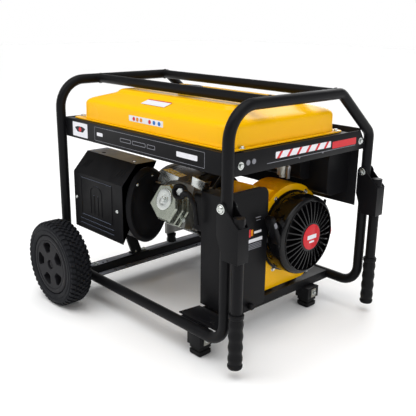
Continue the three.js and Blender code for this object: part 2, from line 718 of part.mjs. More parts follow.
function buildExhaust() {
  const { x0, x1, rz } = MUFFLER;
  const wall = 2;
  const shell = oval([
    [0, x0], [rz - 12, x0], [rz, x0 + 8], [rz, x1 - 18], [rz + 3, x1 - 14], [rz + 3, x1 - 9],
    [rz - 2, x1 - 6], [rz - 20, x1], [0, x1],
  ]);
  const room = oval([
    [0, x0 + wall], [rz - 14, x0 + wall], [rz - wall, x0 + 12], [rz - wall, x1 - 9], [0, x1 - 9],
  ]);
  const outlet = bar('x', 12, x0 - 20, x0 + 20, MUFFLER.y, MUFFLER.z - 30, 16);
  const pipeY = -128;
  const pipeZ = 262;
  const pipe = bar('x', 14, x1 - 4, CYL_X - 52 - GAP, pipeY, pipeZ, 16);
  const flange = bar('x', 17, CYL_X - 58, CYL_X - 52 - GAP, pipeY, pipeZ, 16);
  add('muffler', cut(join(shell, pipe, flange), room, outlet), BLACK_PAINT);
}

function buildShield() {
  const { x0, x1, y, z0, z1, zTop, yTop, yBack } = SHIELD;
  const t = SHEET;
  const fold = outline([
    [y, z0], [y + t, z0], [y + t, z1 - 1], [yTop + 1, zTop - t], [yBack, zTop - t],
    [yBack, zTop], [yTop, zTop], [y, z1],
  ]);
  const end = outline([[y, z0], [yBack, z0 + 20], [yBack, zTop], [yTop, zTop], [y, z1]]);
  const recess = block(x0 + 34, x1 - 34, y - 1, y + 0.8, z0 + 22, z1 - 8);
  add('muffler_shield', cut(join(
    prism('x', fold, x0, x1), prism('x', end, x0, x0 + t),
  ), recess), BLACK_PAINT);
  const footY = -62;
  const low = CROSS_TOP_Z + GAP;
  const bracket = join(
    block(LEFT_CROSS_X - 14, LEFT_CROSS_X + 14, footY - 30, footY + 26, low, low + 4),
    prism('x', outline([
      [footY - 28, low], [footY + 8, low], [footY - 40, MUFFLER.z - 82], [footY - 72, MUFFLER.z - 82],
    ]), LEFT_CROSS_X - 4, LEFT_CROSS_X + 4),
  );
  const clearOfMuffler = oval([
    [0, MUFFLER.x0 + 1], [MUFFLER.rz + GAP, MUFFLER.x0 + 1], [MUFFLER.rz + GAP, MUFFLER.x1 - 18],
    [0, MUFFLER.x1 - 18],
  ]);
  add('muffler_bracket', cut(bracket, clearOfMuffler), BLACK_PAINT);
}

// ---- guard in front of the shroud ------------------------------------------------------------
function buildGuard() {
  const { x0, x1, y0, y1, z0, z1 } = GUARD;
  const corner = 24;
  const plate = new THREE.Shape();
  plate.moveTo(y0, CROSS_TOP_Z + 8);
  plate.lineTo(y0 + 40, CROSS_TOP_Z + 8);
  plate.lineTo(y0 + 40, z0);
  plate.lineTo(y1 - 10, z0);
  plate.absarc(y1 - 10, z0 + 10, 10, -Math.PI / 2, 0);
  plate.lineTo(y1, z1 - corner);
  plate.absarc(y1 - corner, z1 - corner, corner, 0, Math.PI / 2);
  plate.lineTo(y0, z1);
  const front = prism('x', plate, x1 - SHEET, x1);
  const side = block(x0, x1, y0, y0 + SHEET, CROSS_TOP_Z + 8, z1);
  const lip = block(x1 - 10, x1, y0, y1 - corner, z1 - SHEET, z1);
  add('side_guard', join(front, side, lip), BLACK_PLASTIC);
}

// ---- control panel ---------------------------------------------------------------------------
// The housing behind the panel: high over the shroud, deeper in the end bay beside the recoil.
function controlBoxPart(inset) {
  const y1 = PANEL_Y - SHEET - GAP;
  const r = 22 - inset;
  const high = prism('x', roundedRect(
    112 + inset, 296 + inset, y1 + 30, 374 - inset, r,
  ), -200 + inset, 222 - inset);
  const deep = prism('x', roundedRect(
    150 + inset, 258 + inset, y1 + 30, 374 - inset, r,
  ), 218 + inset, 282 - inset);
  return join(high, deep);
}

function controlBox() {
  const y1 = PANEL_Y - SHEET - GAP;
  const beyond = block(-300, 400, y1, y1 + 60, 200, 420);
  return cut(controlBoxPart(0), controlBoxPart(SHEET), beyond);
}

function buildControlPanel() {
  const end = POST_X - TUBE_R - 4;
  const face = block(-end, end, PANEL_Y - SHEET, PANEL_Y, PANEL_LOW_Z, BELT_TOP_Z);
  const holes = [
    ...[-40, 60].map((x) => bar('y', 24, PANEL_Y - 5, PANEL_Y + 5, x, OUTLET_Z, 20)),
    block(134, 166, PANEL_Y - 5, PANEL_Y + 5, OUTLET_Z - 19, OUTLET_Z + 19),
  ];
  add('control_panel', cut(face, ...holes), BLACK_PAINT);
  add('control_box', controlBox(), BLACK_PLASTIC);
  [-40, 60].forEach((x, i) => {
    const socket = join(
      bar('y', 24 - GAP, PANEL_Y - 30, PANEL_Y + 1, x, OUTLET_Z, 20),
      bar('y', 30, PANEL_Y + GAP, PANEL_Y + 5, x, OUTLET_Z, 24),
    );
    const well = bar('y', 19, PANEL_Y - 12, PANEL_Y + 8, x, OUTLET_Z, 20);
    add(`outlet_${i + 1}`, cut(socket, well), BLACK_PLASTIC);
  });
  const breaker = join(
    block(134 + GAP, 166 - GAP, PANEL_Y - 40, PANEL_Y + 1, OUTLET_Z - 19 + GAP, OUTLET_Z + 19 - GAP),
    block(128, 172, PANEL_Y + GAP, PANEL_Y + 5, OUTLET_Z - 25, OUTLET_Z + 25),
  );
  const window = block(142, 158, PANEL_Y - 12, PANEL_Y + 8, OUTLET_Z - 13, OUTLET_Z + 13);
  add('breaker', cut(breaker, window), BLACK_PLASTIC);
  const toggle = join(
    bar('x', 5, 143, 157, PANEL_Y - 4, OUTLET_Z, 12),
    block(145, 155, PANEL_Y - 4, PANEL_Y + 13, OUTLET_Z - 4, OUTLET_Z + 4),
  );
  add('breaker_toggle', toggle, BLACK_PLASTIC);
}

// ---- wheels ----------------------------------------------------------------------------------
// Built with the axle along Y and the outer face towards -Y, then turned for the far side.
function tyreGeometry() {
  const h = WHEEL_W / 2;
  const profile = [
    [RIM_R, -h + 8], [RIM_R + 8, -h + 2], [WHEEL_R - 14, -h], [WHEEL_R - 4, -h + 8],
    [WHEEL_R, -h + 20], [WHEEL_R, h - 20], [WHEEL_R - 4, h - 8], [WHEEL_R - 14, h],
    [RIM_R + 8, h - 2], [RIM_R, h - 8], [RIM_R, -h + 8],
  ];
  return turned('y', profile, 0, 0, WHEEL_SIDES);
}

function rimGeometry() {
  const h = WHEEL_W / 2 - 8;
  const bore = AXLE_R + RUN;
  const r = RIM_R - GAP;
  const profile = [
    [bore, -h + 6], [20, -h + 6], [24, -h + 12], [30, -h + 6], [r - 8, -h + 4], [r, -h],
    [r, h], [r - 5, h], [r - 5, -h + 14], [26, -h + 18], [22, h - 2], [bore, h - 2],
    [bore, -h + 6],
  ];
  const disc = turned('y', profile, 0, 0, WHEEL_SIDES);
  const windows = [];
  const spokes = 5;
  for (let i = 0; i < spokes; i += 1) {
    const window = prism('y', roundedRect(-17, 34, 17, r - 12, 12), -h - 10, -h + 24, 2);
    windows.push(window.rotateY((2 * Math.PI * i) / spokes));
  }
  return cut(disc, ...windows);
}

function axleBracket() {
  const z = WHEEL_Z;
  const face = POST_Y + TUBE_R + GAP;
  const plate = prism('y', roundedRect(WHEEL_X - 30, -12, WHEEL_X + 30, z + 26, 12),
    -face - 5, -face, 3);
  const stub = bar('y', AXLE_R, -(WHEEL_Y + WHEEL_W / 2 - 14), -face - 2, WHEEL_X, z, 20);
  const collar = bar('y', 15, -(WHEEL_Y - WHEEL_W / 2 + 9), -face - 3, WHEEL_X, z, 16);
  const hook = block(WHEEL_X - 20, WHEEL_X + 20, -face - 4, -face + 5, TUBE_R + 2, TUBE_R + 8);
  return join(plate, stub, collar, hook);
}

function buildWheels() {
  for (const [side, name] of [[-1, 'near'], [1, 'far']]) {
    const turn = side > 0 ? Math.PI : 0;
    const place = [WHEEL_X, side * WHEEL_Y, WHEEL_Z];
    add(`${name}_tyre`, tyreGeometry().rotateZ(turn), RUBBER, place);
    add(`${name}_rim`, rimGeometry().rotateZ(turn), BLACK_PLASTIC, place);
    const bracket = axleBracket();
    if (side > 0) bracket.translate(-WHEEL_X, 0, 0).rotateZ(Math.PI).translate(WHEEL_X, 0, 0);
    add(`${name}_axle_bracket`, bracket, BLACK_PAINT);
  }
}

// ---- folding handles -------------------------------------------------------------------------
// A forked bracket straddles the post at the pivot bolt and carries the handle tube below it.
function handleBar() {
  const reach = HANDLE_OFFSET;
  const inner = TUBE_R + 1;
  const outer = inner + 3;
  const tubeTop = -(TUBE_R + 4);
  const cheek = new THREE.Shape();
  cheek.moveTo(-14, 0);
  cheek.absarc(0, 0, 14, Math.PI, 0, true);
  cheek.lineTo(reach + 14, -34);
  cheek.lineTo(reach + 14, -112);
  cheek.lineTo(6, -112);
  cheek.lineTo(-14, -60);
  const cheeks = [-1, 1].map((side) => prism('y', cheek, Math.min(side * inner, side * outer),
    Math.max(side * inner, side * outer), 6));
  const web = block(reach + 11, reach + 14, -outer, outer, -112, -34);
  const tube = bar('z', HANDLE_R, HANDLE_LOW_Z - PIVOT_Z, tubeTop, reach, 0, 16);
  const bolster = block(reach - 9, reach + 13, -outer, outer, -108, -36);
  const hole = bar('y', PIVOT_R + RUN, -outer - 5, outer + 5, 0, 0, 16);
  return cut(join(tube, bolster, web, ...cheeks), hole);
}

function buildHandles() {
  for (const [side, name] of [[-1, 'near'], [1, 'far']]) {
    const place = [POST_X, side * POST_Y, PIVOT_Z];
    add(`${name}_handle_bar`, handleBar(), BLACK_PAINT, place);
    const low = HANDLE_LOW_Z - PIVOT_Z;
    const bore = HANDLE_R + GAP;
    const grip = turned('z', [
      [0, low - 7], [GRIP_R - 4, low - 7], [GRIP_R, low - 2], [GRIP_R, low + GRIP_LEN - 7],
      [bore, low + GRIP_LEN - 7], [bore, low - GAP], [0, low - GAP],
    ], HANDLE_OFFSET, 0, 20);
    add(`${name}_handle_grip`, grip, RUBBER, place);
    const shank = TUBE_R + 4 + GAP;
    const bolt = join(
      bar('y', PIVOT_R, -shank - 2, shank + 2, 0, 0, 16),
      bar('y', 10, -shank - 7, -shank, 0, 0, 6), bar('y', 10, shank, shank + 7, 0, 0, 6),
    );
    add(`${name}_pivot_bolt`, bolt, ZINC, place);
  }
}

buildFrame();
buildFeet();
buildBelts();
buildTank();
buildFuelLine();
buildEngineBlock();
buildIntake();
buildRotor();
buildAlternator();
buildMounts();
buildShroud();
buildRecoil();
buildEngineSwitch();
buildExhaust();
buildShield();
buildGuard();
buildControlPanel();
buildWheels();
buildHandles();

export default generator;
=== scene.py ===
"""Looks of an open-frame portable generator: its finishes, its fine parts, light and camera.

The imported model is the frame. Its plain parts are replaced by fully shaped ones in the same
places, or copied with softened edges, and each finish is a procedural material.
"""

import json
import logging
import math
from collections.abc import Callable, Iterable, Sequence
from dataclasses import dataclass
from enum import Enum

import bmesh
import bpy
from mathutils import Matrix, Quaternion, Vector

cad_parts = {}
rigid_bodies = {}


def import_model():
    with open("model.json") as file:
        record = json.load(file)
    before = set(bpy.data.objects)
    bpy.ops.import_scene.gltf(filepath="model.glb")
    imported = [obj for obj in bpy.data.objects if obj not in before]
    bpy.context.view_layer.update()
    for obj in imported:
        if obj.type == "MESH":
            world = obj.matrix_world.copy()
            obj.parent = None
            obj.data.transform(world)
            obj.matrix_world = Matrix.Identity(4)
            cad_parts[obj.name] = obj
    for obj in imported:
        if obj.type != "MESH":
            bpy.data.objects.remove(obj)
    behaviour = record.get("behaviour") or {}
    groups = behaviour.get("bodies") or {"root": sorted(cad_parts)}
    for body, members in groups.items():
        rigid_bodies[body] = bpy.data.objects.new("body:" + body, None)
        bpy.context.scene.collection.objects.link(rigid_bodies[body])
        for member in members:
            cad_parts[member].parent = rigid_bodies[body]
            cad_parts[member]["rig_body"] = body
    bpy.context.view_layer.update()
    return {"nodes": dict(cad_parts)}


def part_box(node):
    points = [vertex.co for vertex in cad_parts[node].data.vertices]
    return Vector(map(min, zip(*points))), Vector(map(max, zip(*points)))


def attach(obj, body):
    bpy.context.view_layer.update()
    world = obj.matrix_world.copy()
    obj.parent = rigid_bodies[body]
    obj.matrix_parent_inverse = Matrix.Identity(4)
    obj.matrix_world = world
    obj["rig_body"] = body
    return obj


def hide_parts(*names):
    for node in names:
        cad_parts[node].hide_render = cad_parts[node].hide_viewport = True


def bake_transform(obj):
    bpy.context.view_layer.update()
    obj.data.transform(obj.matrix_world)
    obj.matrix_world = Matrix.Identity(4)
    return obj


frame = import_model()

MM = 0.001
GROUP = "generator"
log = logging.getLogger("generator")

Point = Sequence[float]
Mesh = bmesh.types.BMesh


# ---- finishes ---------------------------------------------------------------------------------
def linear(hex_colour: str) -> tuple[float, float, float, float]:
    """Turn an sRGB hex colour into linear light.

    Args:
        hex_colour: Six hex digits after a hash.

    Returns:
        Red, green, blue and alpha as linear values.
    """
    parts = [int(hex_colour[i : i + 2], 16) / 255 for i in (1, 3, 5)]
    red, green, blue = (c / 12.92 if c <= 0.04045 else ((c + 0.055) / 1.055) ** 2.4 for c in parts)
    return red, green, blue, 1.0


def add_node(
    tree: bpy.types.NodeTree,
    kind: str,
    settings: dict | None = None,
    links: dict | None = None,
) -> bpy.types.Node:
    """Add a node with its settings and its incoming links.

    Args:
        tree: The node tree it goes into.
        kind: The node's type name.
        settings: Values by input name or number, or by the node's own property name.
        links: Output sockets by the input name or number that they feed.

    Returns:
        The new node.
    """
    node = tree.nodes.new(kind)
    for key, value in (settings or {}).items():
        if isinstance(key, int) or key in node.inputs:
            node.inputs[key].default_value = value
        else:
            setattr(node, key, value)
    for key, socket in (links or {}).items():
        tree.links.new(socket, node.inputs[key])
    return node


class Grain(Enum):
    """How a surface was made, which decides its relief."""

    PEEL = "sprayed or baked coat with orange peel"
    SPARK = "moulded against a spark-eroded tool"
    BRUSHED = "rolled or brushed sheet"
    CAST = "sand or die casting"
    SMOOTH = "moulded smooth"


@dataclass(frozen=True)
class Finish:
    """One real material and surface.

    Colours are sRGB hex, sizes are millimetres on the object.
    """

    name: str
    slot: str
    colour: str
    shade: str
    roughness: float
    grain: Grain = Grain.PEEL
    grain_mm: float = 5.0
    relief_mm: float = 0.03
    spread: float = 0.06
    patch_mm: float = 60.0
    metallic: float = 0.0
    ior: float = 1.5
    coat: float = 0.0
    coat_roughness: float = 0.1
    specular: float = 0.09
    # Pale colour for the faces that look up: a painted sheen that stands in for reflected light.
    painted_top_sheen: str = ""
    # Lighter colour for the edges, partly wear and partly a painted highlight, and the width of that band.
    edge_wear_and_highlight: str = ""
    edge_wear_and_highlight_mm: float = 0.8

    def material(self) -> bpy.types.Material:
        """Return the material, built the first time it is asked for."""
        made = bpy.data.materials.get(self.name)
        return made or self.build()

    def relief(self, tree: bpy.types.NodeTree, place: bpy.types.NodeSocket) -> bpy.types.NodeSocket:
        """Add the nodes that give the height of the surface's grain.

        Args:
            tree: The material's node tree.
            place: The socket that gives the place on the object, in metres.

        Returns:
            The height, from 0 to 1.
        """
        scale = 1 / (self.grain_mm * MM)
        if self.grain is Grain.BRUSHED:
            stretched = add_node(
                tree, "ShaderNodeMapping", {"Scale": (scale * 0.06, scale * 0.06, scale)},
                {"Vector": place},
            )
            return add_node(
                tree, "ShaderNodeTexNoise", {"Scale": 1.0, "Detail": 4.0},
                {"Vector": stretched.outputs["Vector"]},
            ).outputs["Fac"]
        if self.grain is Grain.SPARK:
            cells = add_node(
                tree, "ShaderNodeTexVoronoi", {"Scale": scale, "feature": "SMOOTH_F1"},
                {"Vector": place},
            )
            return cells.outputs["Distance"]
        if self.grain is Grain.CAST:
            coarse = add_node(
                tree, "ShaderNodeTexNoise", {"Scale": scale, "Detail": 8.0, "Roughness": 0.7},
                {"Vector": place},
            )
            return coarse.outputs["Fac"]
        return add_node(
            tree, "ShaderNodeTexNoise", {"Scale": scale, "Detail": 1.5, "Roughness": 0.4},
            {"Vector": place},
        ).outputs["Fac"]

    def with_edge_wear_and_highlight(
        self, tree: bpy.types.NodeTree, place: bpy.types.NodeSocket, colour: bpy.types.NodeSocket
    ) -> bpy.types.NodeSocket:
        """Lay a lighter colour over the edges: partly wear where handling rubs the coat, partly a painted
        highlight.

        Args:
            tree: The material's node tree.
            place: The socket that gives the place on the object.
            colour: The colour away from the edges.

        Returns:
            The colour with its lighter edges, part wear and part painted highlight.
        """
        rounded = add_node(tree, "ShaderNodeBevel", {"Radius": self.edge_wear_and_highlight_mm * MM, "samples": 4})
        flat = add_node(tree, "ShaderNodeNewGeometry")
        turn = add_node(tree, "ShaderNodeVectorMath", {"operation": "DOT_PRODUCT"})
        tree.links.new(rounded.outputs["Normal"], turn.inputs[0])
        tree.links.new(flat.outputs["Normal"], turn.inputs[1])
        edge = add_node(
            tree, "ShaderNodeMapRange", {"From Min": 0.98, "From Max": 0.8, "To Max": 0.55},
            {"Value": turn.outputs["Value"]},
        )
        broken = add_node(
            tree, "ShaderNodeTexNoise", {"Scale": 1 / (14 * MM), "Detail": 3.0}, {"Vector": place}
        )
        amount = add_node(
            tree, "ShaderNodeMath", {"operation": "MULTIPLY"},
            {0: edge.outputs["Result"], 1: broken.outputs["Fac"]},
        )
        return add_node(
            tree, "ShaderNodeMix", {"data_type": "RGBA", 7: linear(self.edge_wear_and_highlight)},
            {0: amount.outputs["Value"], 6: colour},
        ).outputs[2]

    def with_painted_top_sheen(
        self, tree: bpy.types.NodeTree, colour: bpy.types.NodeSocket
    ) -> bpy.types.NodeSocket:
        """Paint a pale sheen on the faces that look up, standing in for the light they reflect.

        Args:
            tree: The material's node tree.
            colour: The colour of the paint under the painted sheen.

        Returns:
            The colour with its painted sheen on the faces that look up.
        """
        normal = add_node(tree, "ShaderNodeNewGeometry").outputs["Normal"]
        parts = add_node(tree, "ShaderNodeSeparateXYZ", {}, {"Vector": normal})
        upward = add_node(
            tree, "ShaderNodeMapRange", {"From Min": 0.9, "From Max": 0.99},
            {"Value": parts.outputs["Z"]},
        )
        return add_node(
            tree, "ShaderNodeMix", {"data_type": "RGBA", 7: linear(self.painted_top_sheen)},
            {0: upward.outputs["Result"], 6: colour},
        ).outputs[2]

    def build(self) -> bpy.types.Material:
        """Build the material's nodes.

        Returns:
            The new material.
        """
        material = bpy.data.materials.new(self.name)
        material.use_nodes = True
        tree = material.node_tree
        shader = tree.nodes["Principled BSDF"]
        place = add_node(tree, "ShaderNodeTexCoord").outputs["Object"]
        patches = add_node(
            tree, "ShaderNodeTexNoise", {"Scale": 1 / (self.patch_mm * MM), "Detail": 5.0},
            {"Vector": place},
        ).outputs["Fac"]
        colour = add_node(
            tree, "ShaderNodeMix",
            {"data_type": "RGBA", 6: linear(self.colour), 7: linear(self.shade)}, {0: patches},
        ).outputs[2]
        # Edges get a lighter colour, partly wear and partly a painted highlight.
        if self.edge_wear_and_highlight:
            colour = self.with_edge_wear_and_highlight(tree, place, colour)
        # Faces that look up get a painted sheen that stands in for reflected light.
        if self.painted_top_sheen:
            colour = self.with_painted_top_sheen(tree, colour)
        height = self.relief(tree, place)
        bump = add_node(
            tree, "ShaderNodeBump", {"Strength": 1.0, "Distance": self.relief_mm * MM},
            {"Height": height},
        )
        gloss = add_node(
            tree, "ShaderNodeMapRange",
            {
                "From Min": 0.3, "From Max": 0.7,
                "To Min": max(0.02, self.roughness - self.spread),
                "To Max": min(1.0, self.roughness + self.spread),
            },
            {"Value": patches},
        )
        tree.links.new(colour, shader.inputs["Base Color"])
        tree.links.new(gloss.outputs["Result"], shader.inputs["Roughness"])
        tree.links.new(bump.outputs["Normal"], shader.inputs["Normal"])
        shader.inputs["Metallic"].default_value = self.metallic
        shader.inputs["IOR"].default_value = self.ior
        shader.inputs["Specular IOR Level"].default_value = self.specular
        shader.inputs["Coat Weight"].default_value = self.coat
        shader.inputs["Coat Roughness"].default_value = self.coat_roughness
        return material


# Polyester powder baked on steel tube: near-black, semi-gloss, a soft orange peel (drawn coarser
# than its real 2 mm so that it shows) and lighter edges, partly wear and partly painted highlight.
POWDER_COAT = Finish(
    "powder_coated_steel_tube", "frame_paint", "#0e0e10", "#141416", 0.38, grain_mm=4.0,
    relief_mm=0.02, edge_wear_and_highlight="#2e2e31",
)
# The same powder on folded sheet: flatter, so it mirrors broad soft bands of light; its edges are lighter,
# partly wear and partly painted highlight.
SHEET_COAT = Finish(
    "powder_coated_folded_sheet", "sheet_paint", "#101012", "#161618", 0.36, grain_mm=5.0,
    relief_mm=0.02, edge_wear_and_highlight="#38383c",
)
# Silicone heat-resistant paint: dull charcoal black, with a painted pale sheen on the faces that look up,
# standing in for reflected light, and edges lightened partly by wear and partly by painted highlight.
HEAT_COAT = Finish(
    "heat_resistant_silicone_paint", "heat_paint", "#0f0f11", "#18181a", 0.46, grain_mm=3.0,
    relief_mm=0.03, spread=0.1, patch_mm=35, edge_wear_and_highlight="#343438", painted_top_sheen="#8a94ab",
)
# Sheet powder on the flat top of the left rail, greyed by a painted sheen that stands in for the light it
# reflects; edges lightened partly by wear and partly by painted highlight.
LEDGE_COAT = Finish(
    "powder_coated_sheet_with_painted_sheen", "sheet_paint", "#101012", "#161618", 0.4, grain_mm=5.0,
    relief_mm=0.02, edge_wear_and_highlight="#38383c", painted_top_sheen="#85878f",
)
# Two-pack enamel over primer on drawn steel: deep warm yellow under a hard clear gloss.
TANK_ENAMEL = Finish(
    "gloss_enamel_on_drawn_steel", "tank_paint", "#f9bf00", "#f6b500", 0.26, grain_mm=9.0,
    relief_mm=0.02, spread=0.04, patch_mm=140, coat=0.15, coat_roughness=0.08,
)
# Pressure die-cast aluminium, unmachined: grey, slightly pitted, no clear reflections.
CAST_ALUMINIUM = Finish(
    "die_cast_aluminium", "cast_aluminium", "#8f8f8c", "#6f6f6d", 0.52, grain=Grain.CAST,
    grain_mm=3.0, relief_mm=0.15, spread=0.1, patch_mm=20, metallic=0.9,
)
# Zinc die casting, tumbled: brighter and smoother than the aluminium.
ZINC_CASTING = Finish(
    "tumbled_zinc_casting", "zinc_casting", "#a8a79f", "#85847d", 0.42, grain=Grain.CAST,
    grain_mm=2.5, relief_mm=0.08, spread=0.08, patch_mm=12, metallic=0.9,
)
# Pressed steel with bright zinc plate: silvery with a faint yellow-blue passivate cast.
ZINC_PLATE = Finish(
    "zinc_plated_pressed_steel", "zinc_sheet", "#d3d5cd", "#b9bfc2", 0.24, grain=Grain.BRUSHED,
    grain_mm=1.4, relief_mm=0.012, spread=0.07, patch_mm=25, metallic=1.0,
)
# Thinner, greyer plate over a deep pressing: duller, with a faint green cast.
DEEP_PRESSED_STEEL = Finish(
    "plated_deep_pressed_steel", "zinc_sheet", "#a2a69b", "#858b80", 0.24, grain=Grain.BRUSHED,
    grain_mm=1.8, relief_mm=0.02, spread=0.08, patch_mm=22, metallic=0.85,
)
# Turned and ground steel.
TURNED_STEEL = Finish(
    "turned_steel", "steel", "#9b9b9d", "#858587", 0.3, grain=Grain.BRUSHED, grain_mm=1.5,
    relief_mm=0.01, metallic=1.0,
)
# Glass-filled nylon against a spark-eroded tool: black with a fine, even sparkle of highlights.
GRAINED_NYLON = Finish(
    "moulded_glass_filled_nylon", "black_plastic", "#0e0e10", "#131315", 0.42, grain=Grain.SPARK,
    grain_mm=1.6, relief_mm=0.05, spread=0.05, ior=1.53,
)
# Polypropylene against a polished tool: glossy black with crisp streaks on each rib.
GLOSS_POLYPROPYLENE = Finish(
    "polished_mould_polypropylene", "black_plastic", "#09090b", "#0e0e10", 0.2,
    grain=Grain.SMOOTH, grain_mm=12.0, relief_mm=0.01, spread=0.05, ior=1.49, specular=0.3,
)
# ABS, large flat moulding: even satin black.
SATIN_ABS = Finish(
    "moulded_satin_abs", "guard_plastic", "#101012", "#161618", 0.4, grain=Grain.SPARK,
    grain_mm=2.0, relief_mm=0.03, spread=0.05, ior=1.53,
)
# Polypropylene wheel disc: matt charcoal, slightly chalky from the mould.
MATT_POLYPROPYLENE = Finish(
    "matt_polypropylene_wheel", "rim_plastic", "#17171a", "#1f1f22", 0.5, grain=Grain.SPARK,
    grain_mm=2.2, relief_mm=0.05, spread=0.06, ior=1.49,
)
# Pigmented ABS for switches: strong red with a soft gloss.
RED_ABS = Finish(
    "red_moulded_abs", "red_plastic", "#c8191f", "#bd161c", 0.3, grain=Grain.SMOOTH,
    grain_mm=6.0, relief_mm=0.01, spread=0.04, ior=1.53,
)
# Vulcanised tread rubber: dusty blue-grey black.
TREAD_RUBBER = Finish(
    "vulcanised_tread_rubber", "tyre", "#121316", "#1c1d21", 0.62, grain=Grain.CAST,
    grain_mm=4.0, relief_mm=0.12, spread=0.1, patch_mm=18, ior=1.52,
)
# Moulded neoprene for feet and mounts.
BLOCK_RUBBER = Finish(
    "moulded_neoprene", "foot_rubber", "#0e0e0f", "#141415", 0.55, grain=Grain.CAST,
    grain_mm=3.0, relief_mm=0.05, ior=1.52,
)
# Soft PVC grips: black, finely pebbled, slightly sheeny.
GRIP_VINYL = Finish(
    "soft_pvc_grip", "grip_rubber", "#0f0f10", "#151517", 0.45, grain=Grain.SPARK,
    grain_mm=1.8, relief_mm=0.06, ior=1.52,
)
# Extruded EPDM sleeve of the ignition lead.
LEAD_RUBBER = Finish(
    "extruded_epdm", "lead_rubber", "#121213", "#18181a", 0.38, grain=Grain.SMOOTH,
    grain_mm=8.0, relief_mm=0.02, ior=1.5,
)
# Braided nylon starter cord: black, with the braid as a fine, dull unevenness.
BRAIDED_NYLON = Finish(
    "braided_nylon_cord", "lead_rubber", "#1b1b1d", "#2a2a2d", 0.7, grain=Grain.SPARK,
    grain_mm=1.2, relief_mm=0.1, patch_mm=6, ior=1.53,
)
def ink(name: str, slot: str, colour: str, shade: str, roughness: float = 0.35,
        coat: float = 0.0) -> Finish:
    """Return smooth printed vinyl film in one plain ink.

    Args:
        name: The finish's name.
        slot: The slot it belongs to.
        colour: The ink's colour.
        shade: The ink's darker patches.
        roughness: The film's roughness.
        coat: The weight of a clear film over it.

    Returns:
        The finish.
    """
    return Finish(name, slot, colour, shade, roughness, grain=Grain.SMOOTH, grain_mm=20.0,
                  relief_mm=0.005, spread=0.03, coat=coat)


# Printed vinyl film, one for each plain ink: flat colour with an even satin sheen.
WHITE_FILM = ink("white_vinyl_film", "guard_plastic", "#e6e6ea", "#dcdce2")
SILVER_FILM = ink("silver_grey_vinyl_film", "guard_plastic", "#85868c", "#7a7b82")
RED_FILM = ink("red_vinyl_film", "red_plastic", "#cc1f2a", "#c41a25", 0.3, 0.4)
ORANGE_FILM = ink("orange_vinyl_film", "tank_paint", "#e08a14", "#d98210")
BLUE_FILM = ink("blue_vinyl_film", "black_plastic", "#2a74c4", "#246cbb")
CHARCOAL_FILM = ink("charcoal_vinyl_film", "guard_plastic", "#27272b", "#2d2d31", 0.32)
# Enamelled copper wire, seen through the stator's vents.
COPPER_WIRE = Finish(
    "enamelled_copper_wire", "steel", "#9a5a35", "#7d4527", 0.35, grain=Grain.BRUSHED,
    grain_mm=2.0, relief_mm=0.2, metallic=0.9,
)


# ---- shapes -----------------------------------------------------------------------------------
class Axis(Enum):
    """Where a flat outline lies and which way it is pushed through.

    Each value is the outline's first direction, its second, and the depth's.
    """

    X = ((0, 1, 0), (0, 0, 1), (1, 0, 0))
    Y = ((1, 0, 0), (0, 0, 1), (0, 1, 0))
    Z = ((1, 0, 0), (0, 1, 0), (0, 0, 1))

    def at(self, u: float, v: float, w: float) -> Vector:
        """Return the point at outline place (u, v) and depth w."""
        first, second, depth = (Vector(d) for d in self.value)
        return first * u + second * v + depth * w


def arc(centre: Point, radius: float, start: float, end: float, steps: int = 8) -> list[tuple]:
    """Return points along an arc, both ends included.

    Args:
        centre: The arc's centre.
        radius: Its radius.
        start: The angle where it starts, in degrees.
        end: The angle where it ends, in degrees.
        steps: Steps along it.

    Returns:
        One point more than the steps.
    """
    points = []
    for i in range(steps + 1):
        t = math.radians(start + (end - start) * i / steps)
        points.append((centre[0] + radius * math.cos(t), centre[1] + radius * math.sin(t)))
    return points


def circle(centre: Point, radius: float, steps: int = 48) -> list[tuple]:
    """Return the points of a circle."""
    return arc(centre, radius, 0, 360, steps)[:-1]


def round_box(u0: float, v0: float, u1: float, v1: float, r: float, steps: int = 6) -> list[tuple]:
    """Return the outline of a rectangle with rounded corners.

    Args:
        u0: Its low side in the outline's first direction.
        v0: Its low side in the second.
        u1: Its high side in the first.
        v1: Its high side in the second.
        r: The radius of its corners.
        steps: Steps round each corner.

    Returns:
        The points of the outline.
    """
    return [
        *arc((u1 - r, v0 + r), r, -90, 0, steps), *arc((u1 - r, v1 - r), r, 0, 90, steps),
        *arc((u0 + r, v1 - r), r, 90, 180, steps), *arc((u0 + r, v0 + r), r, 180, 270, steps),
    ]


def prism(axis: Axis, outline: Sequence[Point], low: float, high: float,
          holes: Iterable[Sequence[Point]] = ()) -> Mesh:
    """Push a flat outline with holes through a depth.

    Args:
        axis: The plane it lies in.
        outline: Its outer edge.
        low: Depth where it starts.
        high: Depth where it ends.
        holes: The edges of its holes.

    Returns:
        The closed solid.
    """
    bm = bmesh.new()
    edges = []
    for loop in (outline, *holes):
        verts = [bm.verts.new(axis.at(u, v, low)) for u, v in loop]
        edges += [bm.edges.new((verts[i - 1], verts[i])) for i in range(len(verts))]
    bmesh.ops.triangle_fill(bm, use_beauty=True, use_dissolve=True, edges=edges)
    faces = list(bm.faces)
    lifted = bmesh.ops.extrude_face_region(bm, geom=faces)["geom"]
    depth = Vector(axis.value[2]) * (high - low)
    bmesh.ops.translate(bm, vec=depth, verts=[g for g in lifted if isinstance(g, bmesh.types.BMVert)])
    bmesh.ops.recalc_face_normals(bm, faces=bm.faces)
    return bm


def box(low: Point, high: Point) -> Mesh:
    """Return a block between two corners."""
    return prism(Axis.Z, [(low[0], low[1]), (high[0], low[1]), (high[0], high[1]), (low[0], high[1])],
                 low[2], high[2])


